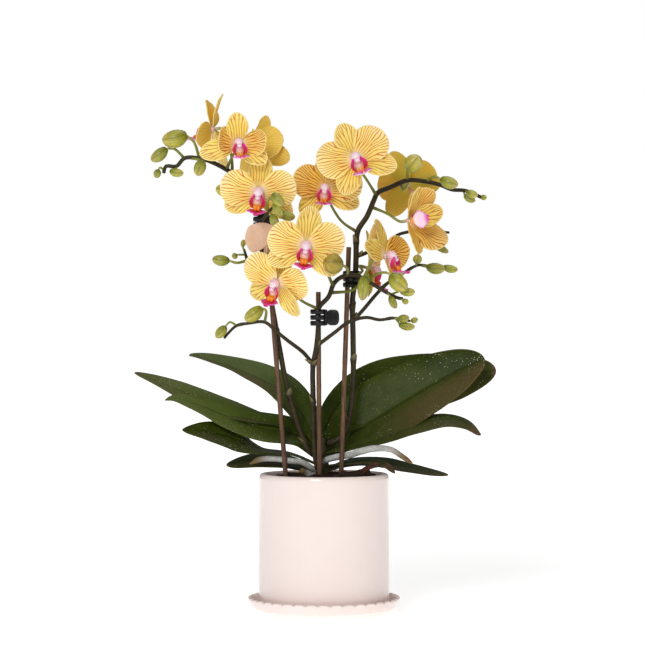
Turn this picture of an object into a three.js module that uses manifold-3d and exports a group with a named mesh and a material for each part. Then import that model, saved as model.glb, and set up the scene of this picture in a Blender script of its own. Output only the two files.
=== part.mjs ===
// A moth orchid with three flower spikes, staked and clipped, growing in bark in a nursery pot that stands
// inside a glazed pot on a scalloped saucer. Millimetres, +Z up, the front towards -Y. The origin is the
// middle of the saucer's flat underside.

import * as THREE from "three";
import { mergeVertices } from "three/addons/utils/BufferGeometryUtils.js";
import Module from "manifold-3d";

const wasm = await Module();
wasm.setup();

// ---------------------------------------------------------------- driving dimensions

const GAP = 0.35; // clear space kept between pieces that touch

const SAUCER = {
  rim: 65.5, foot: 52, waist: 61, wall: 2.6, floor: 5, height: 14.2, well: 58, scallops: 38, dip: 1.4,
};
const POT = { radius: 56, wall: 6.5, floor: 7, rim: 120, edge: 2.4, segments: 30 };
const LINER = { foot: 34, shoulder: 44.4, lip: 47.6, wall: 1, lipHeight: 2, rim: 116.5, segments: 20 };
const BARK = { top: 113, chips: 6, chip: [17, 11, 6.5] };
const GOLDEN_ANGLE = Math.PI * (3 - Math.sqrt(5));
const STAKE_RADIUS = 2.1;
const STAKE_SIDES = 8;
const STEM_SIDES = 5;
const STEM_STEPS = 23;
const STALK_SIDES = 4;
const BRANCH_RADII = [1.7, 1.6, 1.4, 1.1];
const FLOWER_STALK_RADII = [1.5, 1.15, 1.15, 1.4];
const SMALL_BUD = 10; // a narrower bud has fewer faces
const THICK_BUD = 9; // a wider bud hangs on a thicker stalk
const CROWN = { x: -2, y: 2, foot: 98, top: 150, radius: 6.2 };
const ROOT_STEPS = 1.3; // steps along an air root for each of its places

const LEAF_THICKNESS = 1.7;
const WIDE_LEAF = 50; // a wider leaf is split more finely across
const LEAF_STEPS = [0, 0.15, 0.35, 0.57, 0.77, 0.92, 1];
const TEPAL_THICKNESS = 0.9;
const LIP_THICKNESS = 0.9;

// The plant's places are given as they look from the front, at this distance and height: across and up
// in the plane of the pot's axis, then how far behind (+) or in front (-) of that plane they are.
const EYE_DISTANCE = 2000;
const EYE_HEIGHT = 250;

function seen(x, z, y) {
  const spread = 1 + y / EYE_DISTANCE;
  return new THREE.Vector3(x * spread, y, EYE_HEIGHT + (z - EYE_HEIGHT) * spread);
}

const COLOURS = {
  glaze: [0xf3dfd8, 0.35],
  liner: [0x1c1a18, 0.5],
  bark: [0x3b2517, 0.95],
  barkFlake: [0x7a4426, 0.9],
  bamboo: [0x7b5233, 0.7],
  clip: [0x17171a, 0.45],
  card: [0xe3b896, 0.9],
  crown: [0x4d5f28, 0.6],
  leaf: [0x39521f, 0.45],
  root: [0xaeb0a2, 0.8],
  stem: [0x4b432f, 0.55],
  petal: [0xf2cf62, 0.6],
  lip: [0xd9409b, 0.5],
};

// ---------------------------------------------------------------- closed shapes

// A closed geometry as a solid that can be joined and cut.
function solidOf(geometry) {
  const bare = geometry.index ? geometry.toNonIndexed() : geometry.clone();
  for (const name of Object.keys(bare.attributes)) {
    if (name !== "position") bare.deleteAttribute(name);
  }
  const merged = mergeVertices(bare, 1e-4);
  const vertProperties = merged.attributes.position.array;
  const triVerts = new Uint32Array(merged.index.array);
  return new wasm.Manifold(new wasm.Mesh({ numProp: 3, vertProperties, triVerts }));
}

function geometryOf(solid) {
  const { numProp, numVert, vertProperties, triVerts } = solid.getMesh();
  const position = new Float32Array(numVert * 3);
  for (let i = 0; i < numVert; i++) {
    position.set(vertProperties.subarray(i * numProp, i * numProp + 3), i * 3);
  }
  const geometry = new THREE.BufferGeometry();
  geometry.setAttribute("position", new THREE.BufferAttribute(position, 3));
  geometry.setIndex(new THREE.BufferAttribute(triVerts, 1));
  geometry.computeVertexNormals();
  return geometry;
}

function joined(solids) {
  return solids.reduce((whole, piece) => whole.add(piece));
}

// The solid less its cutters, without the scraps that a cut leaves loose.
function cutBack(solid, cutters) {
  const left = cutters.reduce((rest, cutter) => rest.subtract(cutter), solid);
  return left.decompose().reduce((most, body) => (body.volume() > most.volume() ? body : most));
}

function meshGeometry(points, triangles) {
  const geometry = new THREE.BufferGeometry().setFromPoints(points);
  geometry.setIndex(triangles);
  return geometry;
}

// The value at a share of the way along a list of evenly spread values.
function spreadEvenly(values, share) {
  const at = share * (values.length - 1);
  const low = Math.min(Math.floor(at), values.length - 2);
  return THREE.MathUtils.lerp(values[low], values[low + 1], at - low);
}

// A round stalk through the points, closed at both ends. The radii are spread evenly along it.
function stalk(points, radii, sides, steps) {
  const curve = new THREE.CatmullRomCurve3(points, false, "centripetal");
  const { normals, binormals } = curve.computeFrenetFrames(steps, false);
  const vertices = [];
  for (let i = 0; i <= steps; i++) {
    const radius = spreadEvenly(radii, i / steps);
    const centre = curve.getPointAt(i / steps);
    for (let k = 0; k < sides; k++) {
      const angle = (k / sides) * 2 * Math.PI;
      const out = normals[i].clone().multiplyScalar(Math.cos(angle) * radius);
      vertices.push(centre.clone().add(out).addScaledVector(binormals[i], Math.sin(angle) * radius));
    }
  }
  const triangles = [];
  for (let i = 0; i < steps; i++) {
    for (let k = 0; k < sides; k++) {
      const here = i * sides + k;
      const next = i * sides + ((k + 1) % sides);
      triangles.push(here, next, next + sides, here, next + sides, here + sides);
    }
  }
  const last = steps * sides;
  for (let k = 1; k < sides - 1; k++) {
    triangles.push(0, k + 1, k, last, last + k, last + k + 1);
  }
  return solidOf(meshGeometry(vertices, triangles));
}

// A thin closed sheet about a middle surface: point(u, v) has u from -1 to 1 across and v from 0 to 1 along.
// Both faces are split into the same triangles, so that they never cross.
function sheet(point, us, vs, thickness) {
  const middle = vs.map((v) => us.map((u) => point(u, v)));
  const columns = us.length;
  const rows = vs.length;
  const vertices = [];
  for (const side of [1, -1]) {
    for (let i = 0; i < rows; i++) {
      for (let j = 0; j < columns; j++) {
        const left = middle[i][Math.max(j - 1, 0)];
        const right = middle[i][Math.min(j + 1, columns - 1)];
        const before = middle[Math.max(i - 1, 0)][j];
        const after = middle[Math.min(i + 1, rows - 1)][j];
        const across = right.clone().sub(left);
        const normal = across.cross(after.clone().sub(before)).normalize();
        vertices.push(middle[i][j].clone().addScaledVector(normal, (side * thickness) / 2));
      }
    }
  }
  const under = rows * columns;
  const triangles = [];
  for (let i = 0; i < rows - 1; i++) {
    for (let j = 0; j < columns - 1; j++) {
      const a = i * columns + j;
      const [b, c, d] = [a + 1, a + columns + 1, a + columns];
      const split = us[j] < 0 ? [a, b, c, a, c, d] : [a, b, d, b, c, d];
      for (let k = 0; k < 6; k += 3) {
        const [p, q, r] = split.slice(k, k + 3);
        triangles.push(p, q, r, under + p, under + r, under + q);
      }
    }
  }
  const rim = [];
  for (let j = 0; j < columns; j++) rim.push(j);
  for (let i = 1; i < rows; i++) rim.push(i * columns + columns - 1);
  for (let j = columns - 2; j >= 0; j--) rim.push((rows - 1) * columns + j);
  for (let i = rows - 2; i > 0; i--) rim.push(i * columns);
  rim.forEach((p, k) => {
    const q = rim[(k + 1) % rim.length];
    triangles.push(p, under + q, q, p, under + p, under + q);
  });
  return solidOf(meshGeometry(vertices, triangles));
}

function turned(profile, segments) {
  const lathe = new THREE.LatheGeometry(profile.map(([r, z]) => new THREE.Vector2(r, z)), segments);
  return lathe.rotateX(Math.PI / 2);
}

function block(size, at, turn = new THREE.Euler()) {
  const placed = new THREE.Matrix4().makeRotationFromEuler(turn).setPosition(at);
  return solidOf(new THREE.BoxGeometry(...size).applyMatrix4(placed));
}

// The same draws every time: a small multiplicative generator.
function drawer(seed) {
  let state = seed;
  return (low, high) => {
    state = (state * 48271) % 2147483647;
    return low + ((high - low) * state) / 2147483647;
  };
}

// ---------------------------------------------------------------- saucer, pot, nursery pot and bark

function saucer() {
  const { rim, foot, waist, wall, floor, height, well, scallops, dip } = SAUCER;
  const edge = height - 0.7;
  const outside = [[0, 0], [foot, 0], [waist, floor], [rim, edge]];
  const profile = [...outside, [rim - wall, height], [well, floor], [0, floor]];
  const geometry = turned(profile, scallops * 2);
  const position = geometry.attributes.position;
  for (let i = 0; i < position.count; i++) {
    const angle = Math.atan2(position.getY(i), position.getX(i));
    const z = position.getZ(i);
    if (z > floor + 1) position.setZ(i, z - dip * (0.5 + 0.5 * Math.cos(scallops * angle)));
  }
  return geometry;
}

function pot() {
  const { radius, wall, floor, rim, edge } = POT;
  const base = SAUCER.floor + GAP;
  const inside = radius - wall;
  return turned(
    [
      [0, base],
      [radius - edge, base],
      [radius, base + edge],
      [radius, rim - edge],
      [radius - edge * 0.7, rim - edge * 0.2],
      [inside + edge * 0.9, rim],
      [inside, rim - edge],
      [inside - 2, base + floor + 4],
      [inside - 6, base + floor],
      [0, base + floor],
    ],
    POT.segments,
  );
}

const LINER_BASE = SAUCER.floor + GAP + POT.floor + GAP;

function liner() {
  const { foot, shoulder, lip, wall, lipHeight, rim } = LINER;
  return turned(
    [
      [0, LINER_BASE],
      [foot, LINER_BASE],
      [shoulder, rim - lipHeight],
      [lip, rim - lipHeight],
      [lip, rim],
      [shoulder - wall, rim],
      [foot - wall, LINER_BASE + wall],
      [0, LINER_BASE + wall],
    ],
    LINER.segments,
  );
}

// Bark chips lie at random over a packed bed. Holes are left for what stands in it.
function barkBed(holes) {
  const floor = LINER_BASE + LINER.wall + GAP;
  const rise = LINER.rim - LINER_BASE;
  const insideAt = (z) => {
    const share = (z - LINER_BASE) / rise;
    return THREE.MathUtils.lerp(LINER.foot, LINER.shoulder, share) - LINER.wall * 1.3 - GAP;
  };
  const bed = [[0, floor], [insideAt(floor), floor], [insideAt(BARK.top), BARK.top], [0, BARK.top + 2]];
  const draw = drawer(7);
  const chips = [solidOf(turned(bed, LINER.segments))];
  for (let i = 0; i < BARK.chips; i++) {
    const out = (insideAt(BARK.top) - BARK.chip[0] * 0.62) * Math.sqrt((i + 0.5) / BARK.chips);
    const angle = i * GOLDEN_ANGLE;
    const size = BARK.chip.map((length) => length * draw(0.6, 1));
    const at = new THREE.Vector3(Math.cos(angle) * out, Math.sin(angle) * out, BARK.top + draw(0, 1.8));
    chips.push(block(size, at, new THREE.Euler(draw(-0.25, 0.25), draw(-0.25, 0.25), draw(0, Math.PI))));
  }
  return cutBack(joined(chips), holes);
}

// A curled flake of bark that stands in the bed and leans over the pot's rim.
const FLAKE = { foot: [27, 116, -27], head: [46, 128, -30], arch: 3, curl: 2, half: 5, thickness: 2.4 };

function barkFlake(grow = 0) {
  const { foot, head, arch, curl, half, thickness } = FLAKE;
  const point = (u, v) => {
    const [x, z, y] = foot.map((value, i) => THREE.MathUtils.lerp(value, head[i], v));
    return seen(x, z + arch * Math.sin(Math.PI * v) - curl * u * u, y + half * u);
  };
  const edge = 1 + grow / half;
  return sheet(point, [-edge, 0, edge], [-grow / (head[0] - foot[0]), 0.3, 0.7, 1], thickness + 2 * grow);
}

// ---------------------------------------------------------------- crown, leaves and roots

function crown(grow = 0) {
  const { x, y, foot, top, radius } = CROWN;
  const points = [foot, (foot + top) / 2, top + grow].map((z) => new THREE.Vector3(x, y, z));
  return stalk(points, [radius * 0.8, radius, radius, radius * 0.55].map((r) => r + grow), 8, 3);
}

// Each leaf has its midrib's places, its greatest width, how far its upper face tips towards the front from
// its root to its tip, and how far each half folds up from the midrib from root to tip, in degrees.
const LEAVES = {
  leaf_right_front: {
    midrib: [[0, 137, 5], [19, 150, 14], [46, 167, 17], [85, 191, 19], [117, 209, 19], [138, 219, 17]],
    width: 72, tip: [46, 62], fold: [34, 10], belly: 0.38, neck: 0.26, blunt: 1.6,
  },
  leaf_right_back: {
    midrib: [[-1, 141, 6], [9, 164, 20], [38, 184, 35], [80, 196, 46], [117, 203, 49], [148, 209, 45]],
    width: 62, tip: [54, 64], fold: [22, 6], belly: 0.5, blunt: 1.6,
  },
  leaf_right_arched: {
    midrib: [
      [1, 137, -3], [20, 141.5, -7.5], [47, 149, -8], [76, 160, -8], [105, 166.5, -8], [124, 162.5, -9],
      [135, 153, -10],
    ],
    width: 34, tip: [22, 20], fold: [14, -6], belly: 0.55, neck: 0.16, blunt: 2,
  },
  leaf_right_short: {
    midrib: [[0, 126, -2], [20, 128, -7], [36, 130, -10], [51, 128, -13], [61, 120, -16]],
    width: 13, tip: [10, 20], fold: [18, 4], belly: 0.6,
  },
  leaf_right_low: {
    midrib: [
      [0, 121, 4], [14, 126, 7], [31, 129, 10], [53, 128, 11], [70, 125, 10], [88, 121.5, 8], [107, 118.6, 4],
    ],
    width: 26, tip: [18, 18], fold: [14, 2], belly: 0.5, blunt: 1.6,
  },
  leaf_left_top: {
    midrib: [[-3, 143, 4], [-21, 173, 15], [-42, 194, 22], [-72, 208, 26], [-98, 217, 24], [-116, 221.5, 20]],
    width: 43, tip: [36, 16], fold: [26, 14], belly: 0.46, blunt: 1.8,
  },
  leaf_left_long: {
    midrib: [
      [-4, 138, 3], [-29, 158, 15], [-64, 168, 19], [-98, 180, 20], [-124, 191, 18], [-145, 200, 14],
      [-163, 206.5, 10],
    ],
    width: 34, tip: [14, 12, 26, 30, 22], fold: [18, 4], belly: 0.6, blunt: 1.6,
  },
  leaf_left_front: {
    midrib: [
      [-4, 134, 1], [-17, 149, 5], [-31, 154.5, 7], [-47, 157, 8], [-64, 161, 8], [-81, 167.5, 6],
      [-98, 175, 4], [-116, 181.5, 0], [-130, 184.5, -3], [-137, 182.8, -4],
    ],
    width: 43, tip: [34, 34, 40, 40], fold: [16, 4], belly: 0.34, neck: 0.3, blunt: 1.35, taper: 0.72,
  },
  leaf_left_low: {
    midrib: [
      [-4, 127, 1], [-29, 137, 2], [-50, 139, 0], [-68, 144.5, -3], [-84, 151.5, -5], [-102, 156.5, -6],
      [-122, 157.5, -6],
    ],
    width: 33, tip: [4, 3, 7, 34, 41, 36], fold: [3, 3, 4, 8, 6], belly: 0.6, blunt: 1.5, taper: 0.6,
  },
  leaf_left_bottom: {
    midrib: [[-4, 120, 4], [-29, 128, 10], [-55, 131, 10], [-84, 127, 6]],
    width: 30, tip: [22, 24], fold: [14, 2], belly: 0.55, blunt: 1.6,
  },
};

// How wide a leaf is at the share v of its length, from a narrow root through its belly to a point.
function leafOutline(v, { belly, neck = 0.26, blunt = 2.2, taper = 0.5 }) {
  if (v < belly) return neck + (1 - neck) * Math.sin((Math.PI / 2) * (v / belly)) ** (0.3 / neck);
  return Math.max(0.1, (1 - ((v - belly) / (1 - belly)) ** blunt) ** taper);
}

// A leaf, or the cutter that keeps its neighbours clear when it is grown.
function leaf(shape, grow = 0) {
  const { midrib, width, tip, fold } = shape;
  const curve = new THREE.CatmullRomCurve3(midrib.map((place) => seen(...place)), false, "centripetal");
  const point = (u, v) => {
    const along = curve.getTangentAt(v);
    const side = new THREE.Vector3(along.y, -along.x, 0).normalize();
    const lean = THREE.MathUtils.degToRad(spreadEvenly(tip, v)) * Math.sign(along.x);
    side.applyAxisAngle(along, lean);
    const up = side.clone().cross(along).normalize();
    const half = (width / 2) * leafOutline(v, shape) + grow;
    const lift = THREE.MathUtils.degToRad(spreadEvenly(fold, v));
    const at = curve.getPointAt(v).addScaledVector(side, u * half * Math.cos(lift));
    return at.addScaledVector(up, Math.abs(u) * half * Math.sin(lift));
  };
  const across = width > WIDE_LEAF ? [-1, -0.55, 0, 0.55, 1] : [-1, 0, 1];
  return sheet(point, across, LEAF_STEPS, LEAF_THICKNESS + 2 * grow);
}

// Thick air roots that leave the crown and hang over the bark.
const ROOTS = {
  root_left: {
    places: [
      [-7, 122.5, -2.5], [-12, 125.5, -8], [-19, 129.5, -9.5], [-30, 130.8, -8.5], [-40, 132.5, -7.5],
      [-48, 133, -8.5], [-56, 131.8, -11], [-64, 128, -13],
    ],
    radii: [2.3, 2.5, 2.6, 2.6, 2.7, 2.8, 2.6, 1.1],
  },
  root_right: {
    places: [
      [0, 130, -2], [3, 132, -8.5], [9, 133.5, -9.8], [16, 135, -10.3], [22, 135.8, -14], [29, 138, -18.5],
      [38, 140.5, -21.5], [48, 141.5, -23], [58, 140.2, -24], [68, 134, -24], [76, 128.5, -24],
    ],
    radii: [2.4, 2.8, 2.9, 2.9, 3, 2.9, 2.7, 2.5, 2.3, 1.6],
  },
  root_stub: {
    places: [[-6, 117, -1], [-13, 119, -9], [-20, 122.5, -15.5]],
    radii: [2.8, 3.1, 2.6],
  },
};

function root({ places, radii }, grow = 0) {
  const points = places.map((place) => seen(...place));
  return stalk(points, radii.map((radius) => radius + grow), 5, Math.round(places.length * ROOT_STEPS));
}

// ---------------------------------------------------------------- blooms

const TEPAL_STEPS = [0.07, 0.32, 0.72, 1]; // shares of a tepal's length from the bloom's middle
const HUB = { radius: 3.4, back: -2.4, front: 1.4 };
const PETAL = {
  width: 30, root: 0.1, peak: 0.56, blunt: 2.1, base: 0.5, bow: 0.05, trough: -0.1, across: [-1, 0, 1],
};
const SEPAL = {
  width: 20, root: 0.14, peak: 0.54, blunt: 1.75, base: -1.1, bow: 0.03, trough: 0.12, across: [-1, 1],
};

// Where a bloom sits, the way it faces (degrees to the right of the front, degrees up) and the way its lip
// faces where that differs, its size, how far its petals cup back and how slim they are. Each tepal is given
// by how far its tip is across, up and behind the bloom's middle, and how far it twists about its length:
// the top sepal, the two petals and the two lower sepals, left and right as they look from the front.
const BLOOMS = {
  side: {
    at: [-96.5, 416, 2], face: [-98, 0], lipFace: [-98, 20], size: 0.95, cup: 0.12, slim: 0.84,
    top: [8.5, 30.5, 3, 8], petals: [[-12, -10, -20], [-3, 25, 9, -17]],
    sepals: [[13, -36, 5, -40], [16, -15, 6]],
  },
  upper_left: {
    at: [-73.8, 403.4, -32], face: [6, 8], size: 0.95, cup: 0.16, slim: 0.8,
    top: [-1, 25.5, -13], petals: [[-15.5, 5, -17], [24, 2, -13]], sepals: [[-32.5, -9, 1], [24, -16, -6]],
  },
  back_left: {
    at: [-60, 400, 4], face: [130, -5], size: 1, cup: 0.12, slim: 0.94,
    top: [11, 28, 5], petals: [[25, 6.5, -14], [-3, 6, 30]], sepals: [[31.5, -11, -13], [-12, -18, 24]],
  },
  left: {
    at: [-56.3, 362, -30], face: [0, -8], size: 1.05,
    top: [3, 31, 4], petals: [[-32, 6, -5], [32, 5, -5]], sepals: [[-28, -14, 1], [28, -20, 1]],
  },
  centre: {
    at: [-15.4, 316, -52], face: [0, -8], size: 1.05,
    top: [4.5, 33, 3], petals: [[-31.5, 9, -5], [32, 7, -5]], sepals: [[-32, -14, 2], [26, -24, 0]],
  },
  lower_left: {
    at: [-40.3, 284, -36], face: [-24, -12], size: 0.98,
    top: [8, 31, 4], petals: [[-25, 21, 1], [26, -2, -16, 12]], sepals: [[-23, -10, 16], [18, -28, -6, 20]],
  },
  upper: {
    at: [27, 390, -34], face: [0, 12], size: 1.1,
    top: [-12, 31, 6], petals: [[-33, -2, -5], [23, 24, 1]], sepals: [[-10, -30, -6], [35, -6, -1]],
  },
  upper_middle: {
    at: [0.5, 364, -14], face: [0, 8], size: 0.98,
    top: [2, 32, 3], petals: [[-26, 12, -10], [32, 6, -6]], sepals: [[-20, -21, -4], [29, -14, -3]],
  },
  back_right: {
    at: [72, 368, 30], face: [176, -4], size: 0.98,
    top: [-14, 29, 3], petals: [[-26, 1, 12], [23, 16, 12]], sepals: [[-16, -27, -3], [29, 2, -3]],
  },
  right: {
    at: [73.5, 337.5, -8], face: [55, 4], lipFace: [74, 12], size: 1, cup: 0.12,
    top: [30, 9, 12], petals: [[20, 26, -3], [32, -19, 2]], sepals: [[8, 28, -14], [8, -29, -14]],
  },
  lower_right: {
    at: [52.6, 306.5, -18], face: [64, 6], size: 0.98, cup: 0.12,
    top: [-7, 32, 3], petals: [[-12, 24, -16], [21, 7, 22]], sepals: [[-17, 9, -27], [16, -25, 14]],
  },
  behind_right: {
    at: [40, 296, 13], face: [98, -14], size: 0.9, cup: 0.1,
    top: [-3, 33, 1], petals: [[-4, -5, -22], [8, 3, 26]], sepals: [[-1, -24, -12], [-3, -22, 20]],
  },
};

function facing([right, up]) {
  const [a, e] = [THREE.MathUtils.degToRad(right), THREE.MathUtils.degToRad(up)];
  return new THREE.Vector3(Math.sin(a) * Math.cos(e), -Math.cos(a) * Math.cos(e), Math.sin(e));
}

// How far a tepal's tip is from the bloom's middle, given across, up and behind it.
function reach([across, up, behind]) {
  return new THREE.Vector3(across, behind, up);
}

// A bloom's own frame: x to its right as it is looked at, y towards its top sepal, z out of its face.
function bloomFrame({ at, face, top }) {
  const out = facing(face);
  const crest = reach(top);
  crest.addScaledVector(out, -crest.dot(out)).normalize();
  return new THREE.Matrix4().makeBasis(crest.clone().cross(out), crest, out).setPosition(seen(...at));
}

function tepalOutline(v, { root, peak, blunt }) {
  if (v < peak) return root + (1 - root) * Math.sin((Math.PI / 2) * (v / peak)) ** 1.1;
  return Math.max(0.3, Math.sqrt(1 - ((v - peak) / (1 - peak)) ** blunt));
}

// A tepal runs from the hub to its tip, bowed towards the bloom's face and troughed along its length.
function tepal(shape, tip, out, size) {
  const length = reach(tip).length();
  const along = reach(tip).normalize();
  const face = out.clone().addScaledVector(along, -out.dot(along)).normalize();
  face.applyAxisAngle(along, THREE.MathUtils.degToRad(tip[3] ?? 0));
  const side = along.clone().cross(face);
  const point = (u, v) => {
    const half = (shape.width / 2) * size * tepalOutline(v, shape);
    const lift = shape.bow * length * 4 * v * (1 - v) + shape.trough * half * u * u;
    const at = out.clone().multiplyScalar(shape.base * size).addScaledVector(along, length * v);
    return at.addScaledVector(face, lift).addScaledVector(side, u * half);
  };
  return sheet(point, shape.across, TEPAL_STEPS, TEPAL_THICKNESS);
}

function bloom({ face, size, top, petals, sepals, cup = 0, slim = 1 }) {
  const out = facing(face);
  const ends = [HUB.back, HUB.front].map((z) => out.clone().multiplyScalar(z * size));
  const pieces = [stalk(ends, [HUB.radius * 0.8 * size, HUB.radius * size], 4, 1)];
  const petal = { ...PETAL, width: PETAL.width * slim, bow: PETAL.bow - cup };
  for (const tip of [top, ...sepals]) pieces.push(tepal(SEPAL, tip, out, size));
  for (const tip of petals) pieces.push(tepal(petal, tip, out, size));
  return joined(pieces);
}

// The lip and column, in the bloom's own frame: a hooded column, a claw that drops from its foot, two wings
// that stand up from the claw beside the column, and a kite-shaped keel that is thrust forwards.
const COLUMN = { from: [0, 0, 2.6], to: [0, -3.2, 9.2], radius: 3.2 };
const CLAW = { from: [0, -2, 5.4], to: [0, -15, 7.4], radii: [2.6, 4] };
const WING = { root: [3.2, -12.6, 7.6], length: 10.8, width: 6.4, bulge: 2.2 };
const KEEL = {
  root: [0, -14.8, 6.4], length: 14, width: 15.5, widest: 0.5, drop: 0.16, trough: 1.4, tip: 0.22,
};

function wing(side, size) {
  const [x, y, z] = WING.root;
  const point = (u, v) => {
    const half = (WING.width / 2) * Math.sin(Math.PI * (0.2 + 0.68 * v)) ** 0.7;
    const out = x + WING.bulge * Math.sin(Math.PI * v) + 0.55 * half * side * u;
    const forward = z + 2 * v + 0.75 * half * side * u;
    return new THREE.Vector3(side * out, y + WING.length * v, forward).multiplyScalar(size);
  };
  return sheet(point, [-1, 1], [0, 0.5, 1], LIP_THICKNESS);
}

function keel(size) {
  const { root, length, width, widest, drop, trough, tip } = KEEL;
  const point = (u, v) => {
    const share = v < widest ? v / widest : (v - widest) / (1 - widest);
    const wide = v < widest ? 0.3 + 0.7 * Math.sin((Math.PI / 2) * share) : 1 - (1 - tip) * share ** 1.2;
    const half = (width / 2) * wide;
    const up = root[1] - drop * length * v + trough * u * u;
    return new THREE.Vector3(-u * half, up, root[2] + length * v).multiplyScalar(size);
  };
  return sheet(point, [-1, 0, 1], [0, widest, 1], LIP_THICKNESS);
}

function lip(size) {
  const scaled = ([x, y, z]) => new THREE.Vector3(x, y, z).multiplyScalar(size);
  const columnRadii = [0.8, 1].map((share) => share * COLUMN.radius * size);
  const column = stalk([scaled(COLUMN.from), scaled(COLUMN.to)], columnRadii, 5, 1);
  const claw = stalk([scaled(CLAW.from), scaled(CLAW.to)], CLAW.radii.map((r) => r * size), 4, 1);
  return joined([column, claw, wing(1, size), wing(-1, size), keel(size)]);
}

// ---------------------------------------------------------------- flower spikes

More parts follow.
